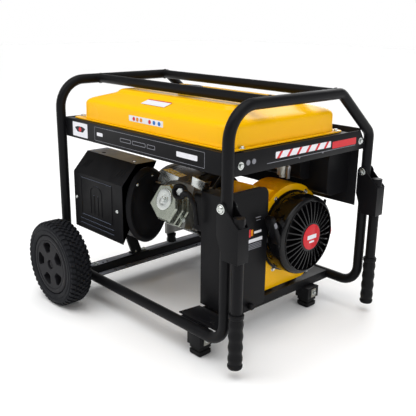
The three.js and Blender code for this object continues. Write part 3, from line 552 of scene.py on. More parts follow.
def turned(axis: Axis, profile: Sequence[Point], centre: Point, segments: int = 64) -> Mesh:
    """Turn a profile about an axis.

    Args:
        axis: The axis it turns about.
        profile: Points as (radius, place along the axis); it starts and ends on the axis, or
            closes on itself.
        centre: The axis's place, as the outline's two coordinates.
        segments: Steps round.

    Returns:
        The closed solid.
    """
    bm = bmesh.new()
    rings = []
    for radius, along in profile:
        count = 1 if radius < 1e-7 else segments
        ring = []
        for i in range(count):
            t = 2 * math.pi * i / segments
            place = axis.at(
                centre[0] + radius * math.cos(t), centre[1] + radius * math.sin(t), along
            )
            ring.append(bm.verts.new(place))
        rings.append(ring)
    for first, second in zip(rings, rings[1:]):
        bridge(bm, first, second, segments)
    bmesh.ops.remove_doubles(bm, verts=bm.verts, dist=1e-7)
    bmesh.ops.recalc_face_normals(bm, faces=bm.faces)
    return bm


def bridge(bm: Mesh, first: list, second: list, segments: int) -> None:
    """Join two rings of a turned shape, either of which may be one point.

    Args:
        bm: The mesh that the faces go into.
        first: The points of one ring.
        second: The points of the next.
        segments: Steps round a full ring.
    """
    if len(first) == 1 and len(second) == 1:
        return
    for i in range(segments):
        j = (i + 1) % segments
        if len(first) == 1:
            bm.faces.new((first[0], second[i], second[j]))
        elif len(second) == 1:
            bm.faces.new((first[i], second[0], first[j]))
        else:
            bm.faces.new((first[i], second[i], second[j], first[j]))


def filleted(corners: Sequence[Point], radii: Sequence[float], steps: int = 12) -> list[Vector]:
    """Return a path with each inner corner rounded.

    Args:
        corners: The path's corners, ends included.
        radii: One bend radius for each inner corner.
        steps: Steps round each bend.

    Returns:
        The points of the path.
    """
    points = [Vector(c) for c in corners]
    path = [points[0]]
    for before, corner, after, radius in zip(points, points[1:], points[2:], radii):
        entry = (corner - before).normalized()
        leave = (after - corner).normalized()
        angle = entry.angle(leave)
        start = corner - entry * radius * math.tan(angle / 2)
        side = (leave - entry * leave.dot(entry)).normalized()
        for i in range(steps + 1):
            t = angle * i / steps
            path.append(start + entry * radius * math.sin(t) + side * radius * (1 - math.cos(t)))
    path.append(points[-1])
    return path


def swept(
    path: Sequence[Vector],
    radius: float | Callable[[float], float],
    sides: int = 32,
    closed: bool = False,
) -> Mesh:
    """Sweep a round section along a path.

    Args:
        path: Points of the centre line.
        radius: The section's radius, or a function of the place along the path from 0 to 1.
        sides: Sides of the section.
        closed: Whether the path closes on itself.

    Returns:
        The closed solid.
    """
    bm = bmesh.new()
    count = len(path)
    tangents = []
    for i in range(count):
        if closed:
            ahead, behind = path[(i + 1) % count], path[i - 1]
        else:
            ahead, behind = path[min(i + 1, count - 1)], path[max(i - 1, 0)]
        tangents.append((ahead - behind).normalized())
    spare = Vector((0, 0, 1)) if abs(tangents[0].z) < 0.9 else Vector((1, 0, 0))
    normal = tangents[0].cross(spare).normalized()
    rings = []
    for i, (point, tangent) in enumerate(zip(path, tangents)):
        if i:
            turn = tangents[i - 1].rotation_difference(tangent)
            normal = (turn @ normal).normalized()
        side = tangent.cross(normal)
        size = radius(i / max(1, count - 1)) if callable(radius) else radius
        ring = []
        for k in range(sides):
            t = 2 * math.pi * k / sides
            ring.append(bm.verts.new(
                point + normal * size * math.cos(t) + side * size * math.sin(t)
            ))
        rings.append(ring)
    pairs = list(zip(rings, rings[1:])) + ([(rings[-1], rings[0])] if closed else [])
    for first, second in pairs:
        for k in range(sides):
            j = (k + 1) % sides
            bm.faces.new((first[k], second[k], second[j], first[j]))
    if not closed:
        bm.faces.new(rings[0])
        bm.faces.new(list(reversed(rings[-1])))
    bmesh.ops.recalc_face_normals(bm, faces=bm.faces)
    return bm


def lofted(rings: Sequence[Sequence[Point]]) -> Mesh:
    """Join rings of equal count, one above the other.

    Args:
        rings: The points of each ring, in order.

    Returns:
        The solid, closed by flat ends.
    """
    bm = bmesh.new()
    made = [[bm.verts.new(p) for p in ring] for ring in rings]
    count = len(made[0])
    for first, second in zip(made, made[1:]):
        for k in range(count):
            j = (k + 1) % count
            bm.faces.new((first[k], first[j], second[j], second[k]))
    bm.faces.new(made[0])
    bm.faces.new(made[-1])
    bmesh.ops.recalc_face_normals(bm, faces=bm.faces)
    return bm


def merged(*parts: Mesh) -> Mesh:
    """Put several meshes into the first one and return it."""
    whole = parts[0]
    for part in parts[1:]:
        mesh = bpy.data.meshes.new("part")
        part.to_mesh(mesh)
        part.free()
        whole.from_mesh(mesh)
        bpy.data.meshes.remove(mesh)
    return whole


def moved(bm: Mesh, matrix: Matrix) -> Mesh:
    """Move a mesh by a matrix and return it."""
    bmesh.ops.transform(bm, matrix=matrix, verts=bm.verts)
    return bm


def hexagon(centre: Point, radius: float) -> list[tuple]:
    """Return the outline of a hexagon, corner to corner twice the radius."""
    return circle(centre, radius, 6)


def facing(direction: Point, place: Point) -> Matrix:
    """Return the matrix that carries +Z at the origin to a direction at a place."""
    turn = Vector(direction).to_track_quat("Z", "Y")
    return Matrix.Translation(Vector(place)) @ turn.to_matrix().to_4x4()


def bolt(direction: Point, place: Point, head: float = 5.5, washer: float = 8.5) -> Mesh:
    """Return a hexagon head with its washer, standing on a surface.

    Args:
        direction: The way the head faces.
        place: The point of the surface under it.
        head: Half the head's width over its corners.
        washer: The washer's radius.

    Returns:
        The two pieces as one mesh.
    """
    size = head * MM
    rim = washer * MM
    ring = turned(Axis.Z, [(0, 0), (rim, 0), (rim, 1.1 * MM), (rim - 0.5 * MM, 1.6 * MM), (0, 1.6 * MM)],
                  (0, 0), 24)
    low = 1.6 * MM
    high = low + size * 0.75
    body = lofted([
        [(x, y, low) for x, y in hexagon((0, 0), size)],
        [(x, y, high - 0.5 * MM) for x, y in hexagon((0, 0), size)],
        [(x, y, high) for x, y in hexagon((0, 0), size * 0.86)],
    ])
    return moved(merged(ring, body), facing(direction, place))


def screw(direction: Point, place: Point, radius: float = 4.5) -> Mesh:
    """Return a domed screw head with a dimple, standing on a surface.

    Args:
        direction: The way the head faces.
        place: The point of the surface under it.
        radius: The head's radius, in millimetres.

    Returns:
        The head.
    """
    r = radius * MM
    profile = [(0, -0.2 * MM), (r, -0.2 * MM), (r, 0.5 * MM)]
    profile += [(r * math.cos(t), 0.5 * MM + r * 0.5 * math.sin(t)) for t in (0.35, 0.7, 1.05, 1.3)]
    head = turned(Axis.Z, [*profile, (0.12 * r, r * 0.5), (0, r * 0.2)], (0, 0), 24)
    return moved(head, facing(direction, place))


# ---- pieces -----------------------------------------------------------------------------------
def piece(
    name: str,
    bm: Mesh,
    finish: Finish,
    body: str | None = GROUP,
    replaces: Sequence[str] = (),
    soften: float = 0.5,
    steps: int = 2,
    sharp: float = 32.0,
) -> bpy.types.Object:
    """Make a mesh into a dressed piece that rides on a body.

    Args:
        name: The piece's name.
        bm: Its mesh, in the frame's coordinates.
        finish: Its finish.
        body: The body it rides on, or None to put it on no body.
        replaces: The plain parts that it stands for.
        soften: Width of the rounding along its edges, in millimetres, or 0 for none.
        steps: Steps across that rounding.
        sharp: Angle over which an edge is rounded or stays sharp, in degrees.

    Returns:
        The piece.
    """
    mesh = bpy.data.meshes.new(name)
    bm.to_mesh(mesh)
    bm.free()
    mesh.shade_smooth()
    obj = bpy.data.objects.new(name, mesh)
    bpy.context.scene.collection.objects.link(obj)
    if soften:
        rounding = obj.modifiers.new("rounding", "BEVEL")
        rounding.width = soften * MM
        rounding.segments = steps
        rounding.limit_method = "ANGLE"
        rounding.angle_limit = math.radians(sharp)
        rounding.harden_normals = True
        rounding.use_clamp_overlap = True
    else:
        mesh.set_sharp_from_angle(angle=math.radians(sharp))
    obj.data.materials.append(finish.material())
    if body:
        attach(obj, body)
    if replaces:
        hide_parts(*replaces)
    log.info("piece %s on %s in %s", name, body, finish.name)
    return obj


def refined(
    node: str, finish: Finish, soften: float = 0.6, steps: int = 2, sharp: float = 32.0
) -> bpy.types.Object:
    """Replace a plain part by a copy with softened edges and its finish.

    Args:
        node: The plain part's name.
        finish: The finish it gets.
        soften: Width of the rounding, in millimetres.
        steps: Steps across the rounding.
        sharp: Angle over which an edge is rounded, in degrees.

    Returns:
        The copy.
    """
    source = frame["nodes"][node]
    bm = bmesh.new()
    bm.from_mesh(source.data)
    bmesh.ops.remove_doubles(bm, verts=bm.verts, dist=1e-6)
    bmesh.ops.dissolve_limit(
        bm, angle_limit=math.radians(1.0), verts=bm.verts, edges=bm.edges, delimit={"NORMAL"}
    )
    return piece(f"{node}_shaped", bm, finish, source["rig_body"], (node,), soften, steps, sharp)


def middle(node: str) -> Vector:
    """Return the middle of a plain part's box."""
    low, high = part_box(node)
    return (low + high) / 2


def temporary(bm: Mesh, name: str) -> bpy.types.Object:
    """Turn a mesh into an object that is only used for cutting.

    Args:
        bm: The mesh.
        name: The object's name while it lasts.

    Returns:
        The object.
    """
    mesh = bpy.data.meshes.new(name)
    bm.to_mesh(mesh)
    bm.free()
    obj = bpy.data.objects.new(name, mesh)
    bpy.context.scene.collection.objects.link(obj)
    return obj


def drilled(bm: Mesh, *cutters: Mesh) -> Mesh:
    """Cut other solids out of a solid.

    Args:
        bm: The solid.
        cutters: What is cut away.

    Returns:
        The solid with its holes.
    """
    target = temporary(bm, "target")
    tool = temporary(merged(*cutters), "tool")
    cut = target.modifiers.new("cut", "BOOLEAN")
    cut.operation = "DIFFERENCE"
    cut.solver = "EXACT"
    cut.use_self = True
    cut.object = tool
    bpy.context.view_layer.update()
    graph = bpy.context.evaluated_depsgraph_get()
    made = bpy.data.meshes.new_from_object(target.evaluated_get(graph))
    result = bmesh.new()
    result.from_mesh(made)
    for obj in (target, tool):
        data = obj.data
        bpy.data.objects.remove(obj)
        bpy.data.meshes.remove(data)
    bpy.data.meshes.remove(made)
    return result


def copied(node: str) -> Mesh:
    """Return a copy of a plain part's mesh with its doubled points joined.

    Args:
        node: The plain part's name.

    Returns:
        The copy.
    """
    bm = bmesh.new()
    bm.from_mesh(frame["nodes"][node].data)
    bmesh.ops.remove_doubles(bm, verts=bm.verts, dist=1e-6)
    return bm


def rod(axis: Axis, radius: float, low: float, high: float, centre: Point, sides: int = 32) -> Mesh:
    """Return a round rod between two places along an axis."""
    return turned(axis, [(0, low), (radius, low), (radius, high), (0, high)], centre, sides)


def film(axis: Axis, outline: Sequence[Point], surface: float, side: float = 1.0) -> Mesh:
    """Return a thin printed film lying on a flat surface."""
    low, high = sorted((surface, surface + side * 0.3 * MM))
    return prism(axis, outline, low, high)


def mm(*values: float) -> tuple[float, ...]:
    """Turn millimetres into metres."""
    return tuple(v * MM for v in values)


# ---- frame of bent tube -----------------------------------------------------------------------
@dataclass
class Cage:
    """The bent tube cage: two side tubes, two end hoops, two top rails and the pressed rails."""

    tube: float = 13 * MM
    rail: float = 12 * MM
    corner_bend: float = 50 * MM
    slant_bend: float = 30 * MM
    hoop_bend: float = 75 * MM
    slant_y: float = 133 * MM
    slant_z: float = 109 * MM
    weld: float = 2.1 * MM

    def build(self) -> None:
        """Build the whole cage."""
        self.side_tubes()
        self.hoops()
        self.top_rails()
        self.cross_rails()

    def side_tubes(self) -> None:
        """Bend the two lower side tubes, each with its two posts."""
        for side in ("near", "far"):
            node = f"{side}_side_tube"
            low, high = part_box(node)
            y = (low.y + high.y) / 2
            left, right, bottom = low.x + self.tube, high.x - self.tube, low.z + self.tube
            path = filleted(
                [(left, y, high.z), (left, y, bottom), (right, y, bottom), (right, y, high.z)],
                [self.corner_bend] * 2,
            )
            piece(f"{side}_lower_tube", swept(path, self.tube, 40), POWDER_COAT, GROUP, (node,),
                  soften=0, sharp=60)

    def hoops(self) -> None:
        """Bend the two end hoops, slanted at the panel side."""
        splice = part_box("near_side_tube")[1].z
        for end in ("left", "right"):
            node = f"{end}_hoop_tube"
            low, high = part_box(node)
            x, near, far = (low.x + high.x) / 2, low.y + self.tube, high.y - self.tube
            top = high.z - self.tube
            path = filleted(
                [(x, near, splice), (x, near, top), (x, far - self.slant_y, top),
                 (x, far, top - self.slant_z), (x, far, splice)],
                [self.hoop_bend, self.slant_bend, self.slant_bend],
            )
            piece(f"{end}_hoop", swept(path, self.tube, 40), POWDER_COAT, GROUP, (node,),
                  soften=0, sharp=60)

    def top_rails(self) -> None:
        """Set the two top rails between the hoops, with a weld bead round each end."""
        left = middle("left_hoop_tube").x
        right = middle("right_hoop_tube").x
        beads = []
        for side in ("near", "far"):
            node = f"{side}_top_rail"
            centre = middle(node)
            path = [Vector((x, centre.y, centre.z)) for x in (left, right)]
            piece(f"{side}_upper_rail", swept(path, self.rail, 40), POWDER_COAT, GROUP, (node,),
                  soften=0, sharp=60)
            for x, inward in ((left, 1), (right, -1)):
                beads.append(self.bead(x, inward, centre.y, centre.z))
        piece("top_rail_welds", merged(*beads), POWDER_COAT, soften=0, sharp=60)

    def bead(self, x: float, inward: int, y: float, z: float) -> Mesh:
        """Return the rippled weld bead where a rail meets a hoop.

        Args:
            x: The hoop's axis along the machine.
            inward: 1 where the rail leaves towards +X, -1 towards -X.
            y: The rail's axis across the machine.
            z: The height of both axes.

        Returns:
            The bead.
        """
        steps = 72
        path = []
        for i in range(steps):
            t = 2 * math.pi * i / steps
            lift = math.sqrt(self.tube**2 - (self.rail * math.sin(t)) ** 2)
            path.append(Vector((
                x + inward * (lift + 0.6 * MM),
                y + (self.rail + 0.3 * MM) * math.cos(t), z + (self.rail + 0.3 * MM) * math.sin(t),
            )))
        ripples = 24
        return swept(
            path, lambda u: self.weld * (1 + 0.16 * math.sin(2 * math.pi * ripples * u)), 10, True
        )

    def cross_rails(self) -> None:
        """Dress the two pressed rails under the engine, with their holes and bolts."""
        low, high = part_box("left_cross_rail")
        x = (low.x + high.x) / 2
        holes = [
            rod(Axis.Z, 4 * MM, low.z - 0.01, high.z + 0.01, (x + side * 26 * MM, y), 20)
            for side in (-1, 1) for y in mm(-170, -130, 10, 150)
        ]
        holes += [rod(Axis.Z, 3.5 * MM, high.z - 0.01, high.z + 0.01, (x, y), 20)
                  for y in mm(-195, -180, 175)]
        piece("left_pressed_rail", drilled(copied("left_cross_rail"), *holes), LEDGE_COAT, GROUP,
              ("left_cross_rail",), soften=1.2, steps=3)
        refined("right_cross_rail", SHEET_COAT, 1.2, 3)
        refined("corner_plate", SHEET_COAT, 0.5)
        bolts = [bolt((0, 0, 1), (x, y, high.z)) for y in mm(-218, 214)]
        right = middle("right_cross_rail")
        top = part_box("right_cross_rail")[1].z
        bolts += [bolt((0, 0, 1), (right.x - 18 * MM, y, top)) for y in mm(-20, 196)]
        piece("cross_rail_bolts", merged(*bolts), ZINC_PLATE, soften=0.3)


@dataclass
class Feet:
    """The two square rubber feet and the bolt plates in front of them."""

    rib: float = 3 * MM
    washer: float = 1.6 * MM

    def build(self) -> None:
        """Build both feet."""
        for side in ("near", "far"):
            node = f"{side}_foot"
            low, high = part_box(node)
            rib = self.rib
            outline = round_box(low.x, low.y, high.x, high.y, 4 * MM)
            inner = round_box(low.x + rib, low.y + rib, high.x - rib, high.y - rib, 3 * MM)
            rings = []
            for z, shape in (
                (low.z, inner), (low.z + 0.004, outline), (low.z + 0.013, outline),
                (low.z + 0.0145, inner), (low.z + 0.0175, inner), (low.z + 0.019, outline),
                (high.z, outline),
            ):
                rings.append([(u, v, z) for u, v in shape])
            piece(f"{side}_rubber_foot", lofted(rings), BLOCK_RUBBER, GROUP, (node,), soften=0.6)
            self.plate(side, low, high)

    def plate(self, side: str, low: Vector, high: Vector) -> None:
        """Add the zinc plate and bolt on the bracket above one foot.

        Args:
            side: "near" or "far".
            low: The foot's low corner.
            high: The foot's high corner.
        """
        x = high.x + 3 * MM
        y = (low.y + high.y) / 2
        z = high.z + 16 * MM
        outline = round_box(y - 9 * MM, z - 13 * MM, y + 9 * MM, z + 11 * MM, 2 * MM)
        front = x + self.washer
        piece(f"{side}_foot_plate", prism(Axis.X, outline, x, front), ZINC_CASTING, soften=0.4)
        piece(f"{side}_foot_bolt", bolt((1, 0, 0), (front, y, z), 4.5, 7), ZINC_PLATE, soften=0.3)


# ---- sheet panels under the tank --------------------------------------------------------------
@dataclass
class Belts:
    """The three folded sheet panels below the tank, their bolts and their plain printed bands."""

    line: float = 0.9 * MM

    def build(self) -> None:
        """Build the panels and what is on them."""
        for node in ("near_belt_panel", "left_belt_panel", "right_belt_panel"):
            refined(node, SHEET_COAT, 0.7)
        self.near_print()
        self.right_print()
        self.bolts()

    def near_print(self) -> None:
        """Lay the plain printed band on the long panel."""
        low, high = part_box("near_belt_panel")
        y = low.y
        z0, z1 = low.z + 7 * MM, high.z - 7 * MM
        x0, x1 = low.x + 139 * MM, high.x - 63 * MM
        outer = round_box(x0, z0, x1, z1, 3 * MM)
        t = self.line
        inner = round_box(x0 + t, z0 + t, x1 - t, z1 - t, 2.2 * MM)
        rim = prism(Axis.Y, outer, y - 0.3 * MM, y, [inner])
        piece("near_band_outline", rim, SILVER_FILM, soften=0, sharp=20)
        mid = (z0 + z1) / 2
        label = film(Axis.Y, round_box(low.x + 35 * MM, z0 - 1 * MM, low.x + 106 * MM, z1 + 1 * MM,
                                       2 * MM), y, -1)
        piece("near_plain_label", label, WHITE_FILM, soften=0)
        mark = film(Axis.Y, [
            (low.x + 46 * MM, mid + 5 * MM), (low.x + 60 * MM, mid + 9 * MM),
            (low.x + 82 * MM, mid + 9 * MM), (low.x + 96 * MM, mid + 5 * MM),
            (low.x + 84 * MM, mid - 6 * MM), (low.x + 58 * MM, mid - 6 * MM),
        ], y - 0.3 * MM, -1)
        piece("near_label_shape", mark, CHARCOAL_FILM, soften=0)
        dot = film(Axis.Y, circle((low.x + 71 * MM, mid + 1 * MM), 6 * MM), y - 0.6 * MM, -1)
        piece("near_label_dot", dot, RED_FILM, soften=0)
        bars = []
        for k, (start, width, tall) in enumerate(
            ((150, 26, 9), (252, 44, 10), (302, 52, 10), (360, 30, 10), (467, 70, 12))
        ):
            u = low.x + start * MM
            bars.append(self.blank(u, mid, width * MM, tall * MM, y, hollow=k in (1, 2, 3)))
        piece("near_plain_blocks", merged(bars[0], bars[4]), WHITE_FILM, soften=0)
        piece("near_outlined_blocks", merged(*bars[1:4]), SILVER_FILM, soften=0)

    def blank(self, u: float, v: float, width: float, tall: float, y: float, hollow: bool) -> Mesh:
        """Return a plain rounded block or outline of film.

        Args:
            u: Where it starts along the machine.
            v: Its middle height.
            width: Its width.
            tall: Its height.
            y: The surface it lies on.
            hollow: Whether only its outline is printed.

        Returns:
            The film.
        """
        outline = round_box(u, v - tall / 2, u + width, v + tall / 2, 2.5 * MM)
        if not hollow:
            return film(Axis.Y, outline, y, -1)
        t = 1.3 * MM
        inner = round_box(u + t, v - tall / 2 + t, u + width - t, v + tall / 2 - t, 1.4 * MM)
        return prism(Axis.Y, outline, y - 0.3 * MM, y, [inner])

    def right_print(self) -> None:
        """Lay the plain printed band on the end panel over the starter."""
        low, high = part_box("right_belt_panel")
        x = high.x
        mid = (low.z + high.z) / 2
        stripe = film(Axis.X, round_box(-0.108, mid - 3 * MM, 0.094, mid + 12 * MM, 2 * MM), x)
        piece("right_plain_strip", stripe, WHITE_FILM, soften=0)
        slants = []
        for k in range(6):
            u = -0.104 + k * 0.034
            slants.append(film(Axis.X, [
                (u, mid - 3 * MM), (u + 0.009, mid - 3 * MM), (u + 0.021, mid + 12 * MM),
                (u + 0.012, mid + 12 * MM),
            ], x + 0.3 * MM))
        piece("right_red_slants", merged(*slants), RED_FILM, soften=0)
        block = film(Axis.X, round_box(0.101, mid - 8 * MM, 0.2, mid + 9 * MM, 2 * MM), x)
        piece("right_red_block", block, RED_FILM, soften=0)
        line = film(Axis.X, round_box(-0.136, mid - 11 * MM, 0.198, mid - 9.6 * MM, 0.6 * MM), x)
        marks = [
            film(Axis.X, [(y, mid - 11 * MM), (y + 8 * MM, mid - 11 * MM), (y + 4 * MM, mid - 15 * MM)], x)
            for y in mm(-28, 60)
        ]
        rounds = [film(Axis.X, circle((y, mid + 1 * MM), 6 * MM, 24), x) for y in mm(-196, -178)]
        piece("right_plain_marks", merged(line, *marks, *rounds), SILVER_FILM, soften=0)

    def bolts(self) -> None:
        """Fasten the panels to their brackets."""
        low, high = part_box("right_belt_panel")
        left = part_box("left_belt_panel")[0].x
        mid = (low.z + high.z) / 2 - 3 * MM
        heads = [bolt((1, 0, 0), (high.x, y, mid), 5.5, 9) for y in mm(-219, 219)]
        heads += [bolt((-1, 0, 0), (left, y, mid), 5.5, 9) for y in mm(-219, 219)]
        piece("belt_bolts", merged(*heads), ZINC_PLATE, soften=0.3)


# ---- fuel tank --------------------------------------------------------------------------------
@dataclass
class FuelTank:
    """The drawn tank with its flange, cap, gauge and plain labels."""

    left_lip: float = 30 * MM
    right_lip: float = 14 * MM
    side_lip: float = 10 * MM
    flange_up: float = 2 * MM
    crown: float = 80 * MM

    def build(self) -> None:
        """Build the tank and what is on it."""
        low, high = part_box("fuel_tank")
        self.x0, self.x1 = low.x + self.left_lip, high.x - self.right_lip
        self.y0, self.y1 = low.y + self.side_lip, high.y - self.side_lip
        self.base = low.z + self.flange_up
        self.body(low, high)
        self.bolts(low, high)
        self.labels()
        self.cap()
        self.gauge()

    def ring(self, inset: float, rise: float, corner: float) -> list[tuple]:
        """Return one level of the tank's outline.

        Args:
            inset: How far it is drawn in.
            rise: Its height above the tank's base.
            corner: The radius of its corners.

        Returns:
            The points of the level.
        """
        outline = round_box(self.x0 + inset, self.y0 + inset, self.x1 - inset, self.y1 - inset,
                            corner, 8)
        return [(u, v, self.base + rise) for u, v in outline]

    def body(self, low: Vector, high: Vector) -> None:
        """Draw the tank over its upright walls, shoulder, sloping crown and plateau.

        Args:
            low: The plain tank's low corner.
            high: Its high corner.
        """
        levels = (
            (-9, 1.5, 20), (-2, 1.5, 26), (0, 3.5, 26), (0, 39, 26), (0.5, 43, 26), (2, 47, 26),
            (4.6, 50.5, 26), (8.5, 53.4, 26), (13.5, 55.8, 26), (22, 58.6, 26), (40, 64.0, 25),
            (56, 69.0, 24), (60, 70.6, 24), (62.5, 73, 24), (65, 76, 23), (68, 78.4, 22),
            (72, 79.6, 21), (77, 80, 20),
        )
        rings = [self.ring(i * MM, r * MM, c * MM) for i, r, c in levels]
        flange = prism(
            Axis.Z, round_box(low.x, low.y, high.x, high.y, 12 * MM, 5),
            self.base - self.flange_up, self.base + 1.5 * MM,
        )
        tank = piece("drawn_tank", lofted(rings), TANK_ENAMEL, GROUP, ("fuel_tank",), soften=0,
                     sharp=60)
        bend = tank.modifiers.new("smooth", "SUBSURF")
        bend.levels = 1
        bend.render_levels = 1
        piece("tank_flange", flange, TANK_ENAMEL, soften=0.6)
        cap = middle("fuel_cap")
        collar = turned(Axis.Z, [
            (24 * MM, self.base + 76 * MM), (40 * MM, self.base + 79 * MM),
            (38 * MM, self.base + 81 * MM), (28 * MM, self.base + 82 * MM),
            (24 * MM, self.base + 82 * MM), (24 * MM, self.base + 76 * MM),
        ], (cap.x, cap.y), 64)
        piece("filler_collar", collar, TANK_ENAMEL, soften=0, sharp=60)

    def bolts(self, low: Vector, high: Vector) -> None:
        """Bolt the flange's corner tabs down.

        Args:
            low: The plain tank's low corner.
            high: Its high corner.
        """
        z = self.base + 1.5 * MM
        places = [(low.x + 14 * MM, y) for y in (low.y + 22 * MM, high.y - 22 * MM)]
        places += [(high.x - 7 * MM, y) for y in (low.y + 40 * MM, high.y - 22 * MM)]
        heads = [bolt((0, 0, 1), (x, y, z), 5, 7.5) for x, y in places]
        piece("tank_bolts", merged(*heads), ZINC_PLATE, soften=0.3)

    def labels(self) -> None:
        """Lay the two plain labels, one on the wall and one on the crown's slope."""
        z = self.base + 25 * MM
        strip = film(Axis.Y, round_box(-0.061, z - 7 * MM, 0.071, z + 7.5 * MM, 1.5 * MM), self.y0, -1)
        piece("tank_wall_label", strip, WHITE_FILM, soften=0)
        dots = {RED_FILM: (-41, 21), ORANGE_FILM: (-12, -27), BLUE_FILM: (38, 57)}
        for finish, places in dots.items():
            rounds = [
                film(Axis.Y, circle((u * MM, z), 5 * MM, 24), self.y0 - 0.3 * MM, -1)
                for u in places
            ]
            piece(f"tank_wall_{finish.name}_dots", merged(*rounds), finish, soften=0)
        lean = math.atan2(69.0 - 58.6, 56 - 22)
        place = Vector((0.0, self.y0 + 39 * MM, self.base + 64.3 * MM))
        lie = Matrix.Translation(place) @ Matrix.Rotation(lean, 4, "X")
        plate = film(Axis.Z, round_box(*mm(-45, -15, 45, 13), 1.5 * MM), 0.5 * MM)
        piece("tank_crown_label", moved(plate, lie), WHITE_FILM, soften=0)
        edge = film(Axis.Z, round_box(*mm(-45, 9.5, 45, 13), 1.2 * MM), 0.8 * MM)
        piece("tank_crown_label_edge", moved(edge, lie), RED_FILM, soften=0)

    def cap(self) -> None:
        """Mould the screw cap with its grip ribs and cross bar."""
        low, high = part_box("fuel_cap")
        cx, cy = (low.x + high.x) / 2, (low.y + high.y) / 2
        r = (high.x - low.x) / 2
        ribs = 24
        outline = []
        for i in range(ribs * 6):
            t = 2 * math.pi * i / (ribs * 6)
            bulge = 0.5 + 0.5 * math.cos(ribs * t)
            outline.append((cx + (r - 1.6 * MM * bulge) * math.cos(t),
                            cy + (r - 1.6 * MM * bulge) * math.sin(t)))
        skirt = prism(Axis.Z, outline, low.z, high.z - 3 * MM)
        dome = turned(Axis.Z, [
            (0, high.z - 4 * MM), (r - 2 * MM, high.z - 4 * MM), (r - 2.2 * MM, high.z - 2.6 * MM),
            (r - 4 * MM, high.z - 1.2 * MM), (0, high.z - 1.2 * MM),
        ], (cx, cy), 64)
        bar = prism(Axis.Z, round_box(cx - r + 8 * MM, cy - 5 * MM, cx + r - 8 * MM, cy + 5 * MM,
                                      5 * MM), high.z - 2 * MM, high.z)
        piece("filler_cap", merged(skirt, dome, bar), GRAINED_NYLON, "cap", ("fuel_cap",), soften=0.7)

    def gauge(self) -> None:
        """Set the round fuel gauge into the crown."""
        tank = middle("fuel_tank")
        cx, cy = tank.x + 138.25 * MM, tank.y + 20.5 * MM
        z = self.base + self.crown
        ring = turned(Axis.Z, [
            (15 * MM, z - 1 * MM), (22 * MM, z - 1 * MM), (22 * MM, z + 2.5 * MM),
            (19 * MM, z + 5 * MM), (15 * MM, z + 5 * MM), (15 * MM, z - 1 * MM),
        ], (cx, cy), 48)
        piece("gauge_ring", ring, GRAINED_NYLON, soften=0.4)
        dial = turned(Axis.Z, [(0, z), (15.5 * MM, z), (15.5 * MM, z + 3 * MM), (0, z + 3.4 * MM)],
                      (cx, cy), 48)
        piece("gauge_dial", dial, WHITE_FILM, soften=0)
        hand = prism(Axis.Z, [(cx - 1 * MM, cy - 9 * MM), (cx + 1 * MM, cy - 9 * MM),
                              (cx + 0.3 * MM, cy + 11 * MM), (cx - 0.3 * MM, cy + 11 * MM)],
                     z + 3.4 * MM, z + 3.8 * MM)
        piece("gauge_hand", hand, RED_FILM, soften=0)


